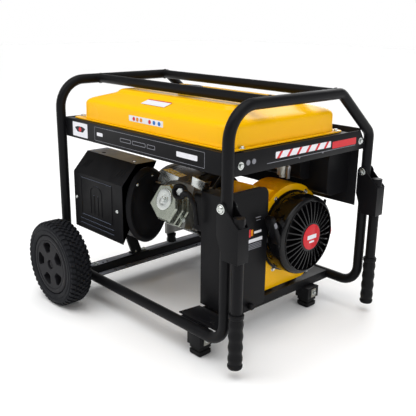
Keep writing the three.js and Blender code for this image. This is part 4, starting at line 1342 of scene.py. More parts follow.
# ---- engine -----------------------------------------------------------------------------------
@dataclass
class Engine:
    """The inclined engine: crankcase, finned cylinder, valve cover, plug, carburettor, cleaner."""

    tilt: float = math.radians(18.5)
    cover_outline: tuple[Point, ...] = (
        (-55, -18), (-31, 37), (5, 45), (39, 22), (51, -11), (33, -49), (-11, -49),
    )

    def build(self) -> None:
        """Build the engine from the crankcase outwards."""
        self.crank = middle("crankshaft")
        refined("crankcase", CAST_ALUMINIUM, 2.5, 3)
        refined("cylinder", CAST_ALUMINIUM, 0.6)
        refined("carburettor", ZINC_CASTING, 1.5)
        refined("air_cleaner", GRAINED_NYLON, 4, 3)
        refined("crankshaft", TURNED_STEEL, 0.5)
        refined("flywheel_fan", CAST_ALUMINIUM, 0.5)
        self.crankcase_details()
        self.cover()
        self.plug()
        self.brackets()

    def on_cylinder(self, x: float, along: float, up: float) -> Vector:
        """Return a place measured from the crank along the leaning cylinder.

        Args:
            x: The place along the machine.
            along: The distance from the crank's axis, along the cylinder.
            up: The distance at right angles to both.

        Returns:
            The place in the frame's coordinates.
        """
        lean = Matrix.Rotation(-self.tilt, 3, "X") @ Vector((0, -along, up))
        return Vector((x, self.crank.y + lean.y, self.crank.z + lean.z))

    def crankcase_details(self) -> None:
        """Add the side cover's bolts, the drain plug and the dipstick."""
        low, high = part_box("crankcase")
        heads = [
            bolt((0, 0, 1), (low.x + 12 * MM, y, high.z - 92 * MM + 12 * MM), 4.5, 7)
            for y in (self.crank.y - 28 * MM, self.crank.y + 32 * MM)
        ]
        heads += [
            bolt((-1, 0, 0), (low.x, self.crank.y + u * MM, self.crank.z + v * MM), 5, 7)
            for u, v in ((-48, -65), (48, -65), (48, 45), (-48, 45))
        ]
        piece("crankcase_bolts", merged(*heads), ZINC_PLATE, soften=0.3)
        near = low.y
        stick = turned(Axis.Y, [
            (0, near - 22 * MM), (11 * MM, near - 22 * MM), (13 * MM, near - 18 * MM),
            (13 * MM, near - 8 * MM), (8 * MM, near - 6 * MM), (8 * MM, near + 14 * MM),
            (0, near + 14 * MM),
        ], (low.x + 122.25 * MM, low.z + 32 * MM), 24)
        piece("oil_dipstick", stick, GRAINED_NYLON, soften=0.8)
        drain = bolt((0, -1, 0), (low.x + 67.25 * MM, near + 6 * MM, low.z + 24 * MM), 7, 10)
        piece("drain_plug", drain, ZINC_PLATE, soften=0.4)

    def cover(self) -> None:
        """Press the stepped valve cover with its dished centre and bolt."""
        low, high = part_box("valve_cover")
        x = (low.x + high.x) / 2
        face = 296.3
        rings = [
            [tuple(self.on_cylinder(x + u * size * MM, along * MM, w * size * MM))
             for u, w in self.cover_outline]
            for along, size in (
                (256.6, 1.14), (260.6, 1.14), (261.6, 1.07), (275, 1.05), (276, 1.0), (291, 0.98),
                (face, 0.91),
            )
        ]
        piece("valve_cover_pressing", lofted(rings), DEEP_PRESSED_STEEL, GROUP, ("valve_cover",),
              soften=2.0, steps=3, sharp=20)
        ring = turned(Axis.Z, mm_pairs([
            (0, 2), (9, 2), (12, 3.6), (24, 3.9), (27.5, 3.0), (28, 0), (0, 0),
        ]), (0, 0), 48)
        out = Matrix.Rotation(-self.tilt, 3, "X") @ Vector((0, -1, 0))
        place = self.on_cylinder(x, face * MM, 4 * MM)
        piece("valve_cover_dish", moved(ring, facing(out, place)), ZINC_PLATE, soften=0.3, sharp=50)
        head = bolt(out, self.on_cylinder(x + 3 * MM, (face + 2.6) * MM, 4 * MM), 7.5, 12)
        piece("valve_cover_bolt", head, ZINC_PLATE, soften=0.5)
        heads = [
            bolt(out, self.on_cylinder(x + u * MM, 262 * MM, w * MM), 4.5, 6.5)
            for u, w in ((-49, 30), (49, -34))
        ]
        piece("cylinder_head_bolts", merged(*heads), ZINC_PLATE, soften=0.3)

    def plug(self) -> None:
        """Fit the spark plug's ring cap, its metal collar and the thick lead."""
        low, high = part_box("spark_plug_lead")
        start = Vector((low.x + 2 * MM, high.y - 8 * MM, high.z - 13 * MM))
        cap_at = start + Vector(mm(4, -16, 2))
        out = Vector((0.35, -0.9, 0.28)).normalized()
        cap = turned(Axis.Z, mm_pairs([
            (12, -16), (17, -14), (19.5, -6), (20, 2), (18, 5), (14.5, 5.5), (12, 3), (12, -16),
        ]), (0, 0), 40)
        piece("plug_cap_ring", moved(cap, facing(out, cap_at)), LEAD_RUBBER, GROUP, soften=0,
              sharp=60)
        collar = turned(Axis.Z, mm_pairs([(0, -14), (11.6, -14), (11.6, -3), (9, -1), (0, -2.5)]),
                        (0, 0), 6)
        piece("plug_collar", moved(collar, facing(out, cap_at)), ZINC_PLATE, soften=0.6)
        route = filleted([
            tuple(cap_at + Vector(mm(14, -2, -6))), tuple(cap_at + Vector(mm(36, -6, 10))),
            (low.x + 68 * MM, low.y + 9 * MM, low.z + 55 * MM),
            (low.x + 72 * MM, low.y + 12 * MM, low.z + 6 * MM),
        ], mm(18, 18), 10)
        piece("plug_lead", swept(route, lambda u: 7.5 * MM - 2 * MM * u, 20), LEAD_RUBBER, GROUP,
              ("spark_plug_lead",), soften=0, sharp=60)

    def brackets(self) -> None:
        """Fold the two bright plates that stand between the cylinder and the tank."""
        y = -150 * MM
        left = prism(Axis.Y, mm_pairs([
            (-49, 361), (-28, 392), (38, 385), (34, 376), (6, 369), (-26, 352),
        ]), y, y + 2 * MM)
        fold = prism(Axis.Y, mm_pairs([(-28, 390), (38, 383), (38, 385), (-28, 392)]), y, y + 26 * MM)
        piece("cylinder_cowl_plate", merged(left, fold), ZINC_PLATE, soften=0.5)
        right = prism(Axis.Y, mm_pairs([(84, 372), (88, 396), (134, 390), (124, 366)]), y, y + 2 * MM)
        side = prism(Axis.Y, mm_pairs([(132, 388), (134, 390), (124, 366), (122, 366)]), y, y + 22 * MM)
        piece("throttle_bracket", merged(right, side), ZINC_PLATE, soften=0.5)


def mm_pairs(points: Sequence[Point]) -> list[tuple]:
    """Turn pairs of millimetres into metres."""
    return [(u * MM, v * MM) for u, v in points]


@dataclass
class FuelLine:
    """The fuel valve under the tank, its nuts, lever and hose."""

    hose: float = 4.5 * MM

    def build(self) -> None:
        """Build the valve and the hose to the carburettor."""
        refined("fuel_valve", ZINC_CASTING, 1.0, 2)
        refined("fuel_valve_lever", TURNED_STEEL, 0.8)
        low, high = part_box("fuel_valve")
        cx, cy = high.x - 14 * MM, (low.y + high.y) / 2
        nuts = [
            prism(Axis.Z, hexagon((cx, cy), 15 * MM), high.z - 18 * MM, high.z - 6 * MM),
            prism(Axis.Z, hexagon((cx, cy), 12 * MM), low.z + 40 * MM, low.z + 52 * MM),
            prism(Axis.Z, hexagon((cx, cy), 9 * MM), low.z - 7 * MM, low.z + 1 * MM),
        ]
        piece("fuel_valve_nuts", merged(*nuts), ZINC_CASTING, soften=0.8)
        spout = Vector((low.x + 2 * MM, cy, low.z + 16 * MM))
        route = filleted([
            tuple(spout + Vector(mm(14, 0, 0))), tuple(spout + Vector(mm(-26, -6, 4))),
            tuple(spout + Vector(mm(-40, -70, 2))), tuple(spout + Vector(mm(-66, -120, -20))),
            tuple(spout + Vector(mm(-78, -164, -80))),
        ], mm(24, 34, 28), 10)
        piece("fuel_hose", swept(route, self.hose, 18), LEAD_RUBBER, soften=0, sharp=60)
        clip = turned(Axis.X, mm_pairs([(4.4, -4), (6.2, -4), (6.2, 4), (4.4, 4), (4.4, -4)]), (0, 0), 24)
        piece("hose_clip", moved(clip, Matrix.Translation(spout)), ZINC_PLATE, soften=0.3)


# ---- exhaust ----------------------------------------------------------------------------------
@dataclass
class Exhaust:
    """The oval muffler canister, its heat shield, pipe and bracket."""

    seam: float = 3.0

    def build(self) -> None:
        """Build canister, shield and bracket."""
        self.canister()
        self.shield()
        refined("muffler_bracket", SHEET_COAT, 0.8)
        low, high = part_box("muffler_bracket")
        heads = [bolt((0, 0, 1), ((low.x + high.x) / 2, y, low.z + 4 * MM), 5, 8)
                 for y in (high.y - 9 * MM, high.y - 42 * MM)]
        piece("muffler_bracket_bolts", merged(*heads), ZINC_PLATE, soften=0.3)

    def oval(self, profile: Sequence[Point], centre: Vector, squash: float) -> Mesh:
        """Return a turned shape pressed to an oval across the machine.

        Args:
            profile: Points as (radius, place along the machine).
            centre: The middle of the oval; only its y and z count.
            squash: The oval's width as a share of its height.

        Returns:
            The pressed shape.
        """
        bm = turned(Axis.X, profile, (0, 0), 96)
        return moved(bm, Matrix.Translation((0, centre.y, centre.z)) @ Matrix.Diagonal(
            (1, squash, 1, 1)))

    def canister(self) -> None:
        """Press the canister's two shells, with the seamed bead round each end, and its pipe."""
        low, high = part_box("muffler")
        rz = 101 * MM
        centre = Vector((0, low.y + 68 * MM + 2.2 * MM, high.z - 95 * MM))
        x0, x1 = low.x, low.x + 230 * MM
        s = self.seam * MM
        profile = [
            (0, x0 + 4 * MM), (rz - 30 * MM, x0 + 4 * MM), (rz - 16 * MM, x0 + 2 * MM),
            (rz - 8 * MM, x0 + 3 * MM), (rz, x0 + 9 * MM), (rz, x1 - 19 * MM),
            (rz + s, x1 - 16 * MM), (rz + s, x1 - 10 * MM), (rz - 1 * MM, x1 - 8 * MM),
            (rz - 5 * MM, x1 - 3 * MM), (rz - 10 * MM, x1 - 1 * MM), (rz - 14 * MM, x1 - 3 * MM),
            (rz - 18 * MM, x1 - 6 * MM), (rz - 40 * MM, x1 - 4 * MM), (0, x1 - 2 * MM),
        ]
        shell = self.oval(profile, centre, 68 / 101)
        piece("muffler_canister", shell, HEAT_COAT, GROUP, ("muffler",), soften=0, sharp=70)
        tail = swept(filleted([
            (x0 + 20 * MM, centre.y, centre.z - 30 * MM), (x0 - 6 * MM, centre.y, centre.z - 30 * MM),
            (x0 - 7 * MM, centre.y, centre.z - 30 * MM),
        ], [0.4 * MM], 2), 12 * MM, 28)
        piece("muffler_tail", tail, HEAT_COAT, soften=0.8, sharp=60)
        at = middle("muffler")
        y, z = at.y + 26 * MM, at.z + 47 * MM
        pipe = swept(filleted([
            (x1 - 12 * MM, y, z), (x1 + 22 * MM, y, z), (x1 + 41 * MM, y + 6 * MM, z - 3 * MM),
        ], [20 * MM], 6), 15 * MM, 32)
        piece("exhaust_pipe", pipe, HEAT_COAT, soften=0, sharp=60)
        heads = [
            screw((1, 0, 0), (x1 - 3 * MM, at.y + u * MM, at.z + v * MM), radius)
            for u, v, radius in ((-38, 64, 4.5), (11, 81, 2.5))
        ]
        piece("muffler_end_screws", merged(*heads), ZINC_PLATE, soften=0)

    def shield(self) -> None:
        """Fold the heat shield, with pressed panel, beads, louvres, holes and screws."""
        low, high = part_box("muffler_shield")
        t = 2 * MM
        y, back = low.y, high.y
        z0, z1 = low.z, high.z
        shoulder, top_y = z1 - 52 * MM, y + 48 * MM
        fold = [
            (y, z0), (y + t, z0), (y + t, shoulder - 0.8 * MM), (top_y + 0.8 * MM, z1 - t),
            (back, z1 - t), (back, z1), (top_y, z1), (y, shoulder),
        ]
        end = [(y, z0), (back, z0 + 20 * MM), (back, z1), (top_y, z1), (y, shoulder)]
        x0, x1 = low.x, high.x
        holes = [rod(Axis.Z, 5.5 * MM, z1 - 0.01, z1 + 0.01, (x, y + 66 * MM), 24)
                 for x in (x0 + 56 * MM, x1 - 33 * MM)]
        sheet = drilled(prism(Axis.X, fold, x0, x1), *holes)
        piece("heat_shield", merged(sheet, prism(Axis.X, end, x0, x0 + t)), HEAT_COAT, GROUP,
              ("muffler_shield",), soften=1.2, steps=3)
        self.pressings(x0, x1, y, z0, shoulder)
        self.louvres(x0, x1, y, top_y, shoulder, z1)
        heads = [screw((0, -1, 0), (x, y, z0 + 86 * MM), 5.5) for x in (x0 + 12 * MM, x1 - 24 * MM)]
        piece("shield_screws", merged(*heads), ZINC_PLATE, soften=0)

    def pressings(self, x0: float, x1: float, y: float, z0: float, z1: float) -> None:
        """Raise the frame, the arched rib, the upright ribs and the two long beads.

        Args:
            x0: The sheet's left end.
            x1: Its right end.
            y: Its outer face.
            z0: Its lower edge.
            z1: Its upper fold.
        """
        u0, u1 = x0 + 34 * MM, x1 - 46 * MM
        v0, v1 = z0 + 40 * MM, z1 - 10 * MM
        lift = 1.3 * MM
        rim = prism(Axis.Y, round_box(u0, v0, u1, v1, 5 * MM), y - lift, y,
                    [round_box(u0 + 4 * MM, v0 + 4 * MM, u1 - 4 * MM, v1 - 4 * MM, 3 * MM)])
        mid = (u0 + u1) / 2
        arch = [Vector((mid - 26 * MM, y, v0 + 14 * MM)), Vector((mid - 26 * MM, y, v1 - 34 * MM))]
        for i in range(13):
            t = math.pi * (1 - i / 12)
            arch.append(Vector((mid + 26 * MM * math.cos(t), y, v1 - 34 * MM + 18 * MM * math.sin(t))))
        arch.append(Vector((mid + 26 * MM, y, v0 + 14 * MM)))
        ribs = [swept([Vector((mid + u * MM, y, v0 + 14 * MM)), Vector((mid + u * MM, y, v1 - 42 * MM))],
                      1.6 * MM, 10) for u in (-9, 9)]
        piece("shield_pressing", merged(rim, swept(arch, 1.8 * MM, 10), *ribs), HEAT_COAT,
              soften=0.8, steps=3)
        beads = [
            swept([Vector((u0 - 6 * MM, y, z0 + v * MM)), Vector((u1 + 6 * MM, y, z0 + v * MM))],
                  2.2 * MM, 12) for v in (15, 28)
        ]
        piece("shield_beads", merged(*beads), HEAT_COAT, soften=0, sharp=60)

    def louvres(self, x0: float, x1: float, y0: float, y1: float, z0: float, z1: float) -> None:
        """Press short slanted louvres near both ends of the sloping face.

        Args:
            x0: The sheet's left end.
            x1: Its right end.
            y0: Where the slope starts.
            y1: Where it ends.
            z0: The height where it starts.
            z1: The height where it ends.
        """
        parts = []
        for start in (x0 + 22 * MM, x1 - 46 * MM):
            for k in range(3):
                at = [Vector((start + (k * 9 + s * 10) * MM,
                              y0 + (y1 - y0) * (0.3 + 0.36 * s), z0 + (z1 - z0) * (0.3 + 0.36 * s)))
                      for s in (0.0, 0.5, 1.0)]
                parts.append(swept(at, lambda u: (0.7 + 1.2 * math.sin(math.pi * u)) * MM, 10))
        piece("shield_louvres", merged(*parts), HEAT_COAT, soften=0, sharp=60)


# ---- alternator and mounts --------------------------------------------------------------------
@dataclass
class Alternator:
    """The alternator: laminated stator, vented end bell, through bolts and rubber mounts."""

    vents: int = 16
    sheets: int = 22

    def build(self) -> None:
        """Build the alternator and every rubber mount."""
        refined("alternator_rotor", COPPER_WIRE, 0.5)
        refined("alternator_stator", SHEET_COAT, 0.8)
        self.laminations()
        self.bell()
        self.mounts()

    def laminations(self) -> None:
        """Stack the stator's steel sheets, seen as fine rings round its middle."""
        low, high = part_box("alternator_stator")
        cy, cz = (low.y + high.y) / 2, (low.z + high.z) / 2
        r = 94 * MM
        x0, x1 = low.x + 30 * MM, high.x - 52 * MM
        profile = [(r - 3 * MM, x0)]
        for i in range(self.sheets):
            u0 = x0 + (x1 - x0) * i / self.sheets
            u1 = x0 + (x1 - x0) * (i + 0.7) / self.sheets
            profile += [(r + 1.6 * MM, u0), (r + 1.6 * MM, u1), (r + 0.4 * MM, u1)]
        profile += [(r - 3 * MM, x1), (r - 3 * MM, x0)]
        piece("stator_laminations", turned(Axis.X, profile, (cy, cz), 72), TURNED_STEEL, soften=0)
        rods = []
        for k in range(4):
            t = math.radians(45 + 90 * k)
            y, z = cy + (r + 3 * MM) * math.cos(t), cz + (r + 3 * MM) * math.sin(t)
            rods.append(rod(Axis.X, 3.5 * MM, low.x - 34 * MM, high.x - 6 * MM, (y, z), 16))
            rods.append(bolt((-1, 0, 0), (low.x - 30 * MM, y, z), 5, 7))
        piece("stator_through_bolts", merged(*rods), ZINC_PLATE, soften=0.3)

    def bell(self) -> None:
        """Cast the end bell with its ring of vents and the black end cover."""
        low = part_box("alternator_end_bell")[0]
        _, cy, cz = middle("alternator_stator")
        cuts = []
        for k in range(self.vents):
            cutter = box(mm(-20, -4, 48), mm(30, 4, 74))
            cuts.append(moved(cutter, Matrix.Translation((low.x, cy, cz))
                              @ Matrix.Rotation(2 * math.pi * k / self.vents, 4, "X")))
        piece("end_bell_vented", drilled(copied("alternator_end_bell"), *cuts), CAST_ALUMINIUM,
              GROUP, ("alternator_end_bell",), soften=1.0)
        cap = turned(Axis.X, [
            (0, low.x - 3 * MM), (26 * MM, low.x - 3 * MM), (31 * MM, low.x + 1 * MM),
            (31 * MM, low.x + 6 * MM), (0, low.x + 6 * MM),
        ], (cy, cz), 48)
        piece("end_bell_cap", cap, GRAINED_NYLON, soften=0.8)

    def mounts(self) -> None:
        """Mould the rubber mounts between their washers and studs."""
        for node in ("alternator_mount", "engine_mount_near", "engine_mount_far"):
            low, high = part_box(node)
            cx, cy = (low.x + high.x) / 2, (low.y + high.y) / 2
            r = (high.x - low.x) / 2
            h = high.z - low.z
            waist = [
                (0, low.z), (r * 0.7, low.z), (r * 0.7, low.z + 2 * MM), (r, low.z + 3 * MM),
                (r * 0.98, low.z + 0.35 * h), (r * 0.86, low.z + 0.55 * h),
                (r * 0.98, low.z + 0.75 * h), (r, high.z - 3 * MM), (r * 0.7, high.z - 2 * MM),
                (r * 0.7, high.z), (0, high.z),
            ]
            piece(f"{node}_rubber", turned(Axis.Z, waist, (cx, cy), 40), BLOCK_RUBBER, GROUP, (node,),
                  soften=0, sharp=70)
            nut = prism(Axis.Z, hexagon((cx, cy), 6.5 * MM), low.z - 20 * MM, low.z - 14 * MM)
            plate = turned(Axis.Z, [
                (0, low.z - 0.2 * MM), (r * 0.95, low.z - 0.2 * MM), (r * 0.95, low.z + 1.6 * MM),
                (0, low.z + 1.6 * MM),
            ], (cx, cy), 32)
            piece(f"{node}_washer", merged(nut, plate), ZINC_PLATE, soften=0.3)


# ---- shroud and starter -----------------------------------------------------------------------
@dataclass
class Shroud:
    """The yellow fan shroud with its duct and the guard panel beside it."""

    edge: float = 6.0
    bolt_ring: float = 112 * MM

    def build(self) -> None:
        """Build the shroud and the guard with its plain labels and knob."""
        refined("fan_shroud", TANK_ENAMEL, self.edge, 4, 40)
        self.rivets()
        self.guard()

    def rivets(self) -> None:
        """Fasten the shroud with flanged screws round the starter."""
        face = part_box("fan_shroud")[1].x
        axis = middle("recoil_housing")
        heads = []
        for degrees in (58, 122, 238, 302):
            t = math.radians(degrees)
            y = axis.y + self.bolt_ring * math.cos(t)
            z = axis.z + self.bolt_ring * math.sin(t)
            heads.append(bolt((1, 0, 0), (face, y, z), 4.5, 6.5))
        piece("shroud_bolts", merged(*heads), ZINC_PLATE, soften=0.3)

    def guard(self) -> None:
        """Dress the guard panel with its knob and its plain printed blocks."""
        refined("side_guard", SATIN_ABS, 2.0, 3)
        low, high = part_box("side_guard")
        x = high.x
        knob = turned(Axis.X, mm_pairs([(0, 0), (7, 0), (9, 2), (9, 10), (7, 13), (0, 13)]), (0, 0), 24)
        place = (x, low.y + 104.4 * MM, low.z + 8 * MM)
        piece("guard_knob", moved(knob, Matrix.Translation(place)),
              GRAINED_NYLON, soften=0.6)

        centre = middle("side_guard")

        def band(y0: float, y1: float, z0: float, z1: float) -> Mesh:
            """Return a plain block of film on the guard.

            Args:
                y0: Its low side from the guard's middle, in millimetres.
                y1: Its high side.
                z0: Its lower edge from the guard's middle.
                z1: Its upper edge.

            Returns:
                The film.
            """
            low_side, high_side = centre.y + y0 * MM, centre.y + y1 * MM
            below, above = centre.z + z0 * MM, centre.z + z1 * MM
            return film(Axis.X, round_box(low_side, below, high_side, above, 1.2 * MM, 3), x)

        piece("guard_white_bar", band(8, 62, 21, 30), WHITE_FILM, soften=0)
        greys = [band(9, 60, v, v + 2.2) for v in (15, 11, 7, 3)]
        greys += [band(36, 55, 81, 83.5), band(38, 54, 74, 76)]
        piece("guard_grey_bars", merged(*greys), SILVER_FILM, soften=0)
        piece("guard_red_block", band(14, 20, 36, 56), RED_FILM, soften=0)
        piece("guard_orange_block", band(21, 28, 38, 54), ORANGE_FILM, soften=0)
        piece("guard_small_block", band(32, 58, 42, 48), WHITE_FILM, soften=0)


@dataclass
class RecoilStarter:
    """The recoil starter: ribbed cover, red badge, grip and the pulley behind."""

    fins: int = 30
    fin: float = 3.4
    side_slots: int = 20
    rim: float = 105 * MM

    def build(self) -> None:
        """Build the cover, badge and grip."""
        low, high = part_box("recoil_housing")
        self.x0, self.x1 = low.x, high.x
        self.y, self.z = (low.y + high.y) / 2, (low.z + high.z) / 2
        grip_low, grip_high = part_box("pull_grip")
        self.lie = Matrix.Translation((
            (grip_low.x + grip_high.x) / 2 + 15 * MM, self.y - self.rim - 5 * MM, self.z + 40 * MM,
        )) @ Matrix.Rotation(math.radians(25), 4, "X")
        refined("recoil_pulley", GRAINED_NYLON, 0.8)
        self.cover()
        self.blades()
        self.badge()
        self.grip()
        self.rope()
        self.switch()

    def cover(self) -> None:
        """Mould the cover's wall, its slots, rounded rim and hub."""
        x0, x1, r = self.x0, self.x1, self.rim
        wall = [
            (r - 3 * MM, x0), (r, x0), (r, x1 - 32 * MM), (r - 0.8 * MM, x1 - 24 * MM),
            (r - 3 * MM, x1 - 18 * MM), (r - 6.5 * MM, x1 - 14 * MM), (r - 11 * MM, x1 - 12 * MM),
            (r - 14 * MM, x1 - 12 * MM), (r - 14 * MM, x1 - 15 * MM), (r - 9 * MM, x1 - 17 * MM),
            (r - 5 * MM, x1 - 22 * MM), (r - 3 * MM, x1 - 32 * MM), (r - 3 * MM, x0),
        ]
        cuts = []
        for k in range(self.side_slots):
            cutter = box(mm(15, -8, 90), mm(27, 8, 112))
            cuts.append(moved(cutter, Matrix.Translation((x0, self.y, self.z))
                              @ Matrix.Rotation(2 * math.pi * (k + 0.5) / self.side_slots, 4, "X")))
        cuts.append(moved(rod(Axis.Y, 8.2 * MM, 6 * MM, 50 * MM, (0, 0), 32), self.lie))
        shell = drilled(turned(Axis.X, wall, (self.y, self.z), 120), *cuts)
        lip = turned(Axis.X, [
            (r - 14.5 * MM, x1 - 13 * MM), (r - 12 * MM, x1 - 13 * MM), (r - 12 * MM, x1 - 10 * MM),
            (r - 13 * MM, x1 - 9 * MM), (r - 14.5 * MM, x1 - 10 * MM), (r - 14.5 * MM, x1 - 13 * MM),
        ], (self.y, self.z), 120)
        hub = turned(Axis.X, [
            (0, x1 - 14 * MM), (38 * MM, x1 - 14 * MM), (39 * MM, x1 - 5 * MM),
            (37 * MM, x1 - 3.4 * MM), (0, x1 - 2.6 * MM),
        ], (self.y, self.z), 96)
        flange = turned(Axis.X, [
            (r - 3 * MM, x0), (r + 4 * MM, x0), (r + 4 * MM, x0 + 3 * MM), (r - 3 * MM, x0 + 3 * MM),
            (r - 3 * MM, x0),
        ], (self.y, self.z), 120)
        piece("starter_cover", merged(shell, lip, hub, flange), GLOSS_POLYPROPYLENE, GROUP,
              ("recoil_housing",), soften=0.7, sharp=35)

    def blades(self) -> None:
        """Set the radial fins between hub and rim, with one ring behind them."""
        parts = []
        x1 = self.x1
        for k in range(self.fins):
            half = self.fin / 2 * MM
            outline = [
                (34 * MM, x1 - 20 * MM), (94 * MM, x1 - 24 * MM), (94 * MM, x1 - 12.5 * MM),
                (72 * MM, x1 - 7.6 * MM), (52 * MM, x1 - 5 * MM), (36 * MM, x1 - 4 * MM),
            ]
            blade = lofted([
                [(x, side, radius) for radius, x in outline] for side in (-half, half)
            ])
            parts.append(moved(blade, Matrix.Translation((0, self.y, self.z))
                               @ Matrix.Rotation(2 * math.pi * k / self.fins, 4, "X")))
        piece("starter_fins", merged(*parts), GLOSS_POLYPROPYLENE, soften=0.5)
        screen = turned(Axis.X, [
            (0, x1 - 28 * MM), (98 * MM, x1 - 28 * MM), (98 * MM, x1 - 26 * MM), (0, x1 - 26 * MM),
        ], (self.y, self.z), 64)
        piece("starter_screen", screen, GRAINED_NYLON, soften=0)

    def badge(self) -> None:
        """Stick the plain red disc on the hub, with two pale bars."""
        x = self.x1 - 2.7 * MM
        disc = turned(Axis.X, [(0, x), (33.5 * MM, x), (33.5 * MM, x + 0.8 * MM),
                               (32.5 * MM, x + 1.3 * MM), (0, x + 1.6 * MM)], (self.y, self.z), 96)
        piece("starter_badge", disc, RED_FILM, soften=0, sharp=60)
        bars = [
            film(Axis.X, round_box(self.y + u0 * MM, self.z + v0 * MM, self.y + u1 * MM,
                                   self.z + v1 * MM, 1.5 * MM, 4), x + 1.8 * MM)
            for u0, v0, u1, v1 in ((-18, -5, 18, 6), (-10, -15, 10, -10))
        ]
        piece("starter_badge_bars", merged(*bars), WHITE_FILM, soften=0)

    def grip(self) -> None:
        """Mould the pull grip with its finger bar, stem and pale insert."""
        rings = []
        for s, width, depth in (
            (-42, 9, 4), (-41, 12, 6), (-37, 13.5, 7), (-20, 14, 7), (0, 13, 6.5), (20, 14, 7),
            (37, 13.5, 7), (41, 12, 6), (42, 9, 4),
        ):
            shape = round_box(-width, -depth, width, depth, min(width, depth) * 0.6, 5)
            rings.append([mm(u, v - 8, s) for u, v in shape])
        handle = moved(lofted(rings), self.lie)
        stem = moved(swept([Vector(mm(0, -3, 0)), Vector(mm(0, 6, 0)), Vector(mm(0, 32, 0))],
                           lambda u: (7.5 - 3 * u) * MM, 20), self.lie)
        piece("starter_grip", merged(handle, stem), GRAINED_NYLON, "grip", ("pull_grip",),
              soften=0.4, sharp=60)
        insert = prism(Axis.X, round_box(*mm(-13, 10, -4, 26), 4 * MM), *mm(13.4, 14.6))
        piece("starter_grip_insert", moved(insert, self.lie), SILVER_FILM, "grip", soften=0.3)

    def rope(self) -> None:
        """Lead the rope out through its eyelet."""
        eyelet = turned(Axis.Y, mm_pairs([
            (8.2, 12), (10, 10.5), (12.5, 11.5), (13, 14), (13, 24), (8.2, 24), (8.2, 12),
        ]), (0, 0), 40)
        piece("rope_eyelet", moved(eyelet, self.lie), GRAINED_NYLON, soften=0)
        inner, outer = 56 * MM, 28 * MM
        steps = 60
        path = [Vector((0, inner + (outer - inner) * k / steps, 0)) for k in range(steps + 1)]
        cord = piece("starter_rope", moved(swept(path, 2.2 * MM, 12), self.lie), BRAIDED_NYLON,
                     None, soften=0, sharp=60)
        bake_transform(cord)

    def switch(self) -> None:
        """Dress the engine switch box and its rocker, with a pale plate and the throttle lever."""
        refined("engine_switch_box", GRAINED_NYLON, 1.2)
        refined("engine_switch_rocker", RED_ABS, 0.8)
        low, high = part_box("engine_switch_box")
        frame_plate = prism(Axis.X, round_box(low.y + 1 * MM, low.z + 3 * MM, high.y - 1 * MM,
                                              high.z - 3 * MM, 2 * MM), high.x - 0.2 * MM,
                            high.x + 0.3 * MM)
        piece("engine_switch_plate", frame_plate, WHITE_FILM, soften=0)
        x = low.x + 6 * MM
        hook = swept(filleted([
            (x, low.y - 2 * MM, high.z + 4 * MM), (x, high.y + 8 * MM, high.z + 30 * MM),
            (x, high.y + 14 * MM, high.z + 56 * MM),
        ], [20 * MM], 8), 4 * MM, 16)
        piece("throttle_lever", hook, GRAINED_NYLON, soften=0.5, sharp=60)


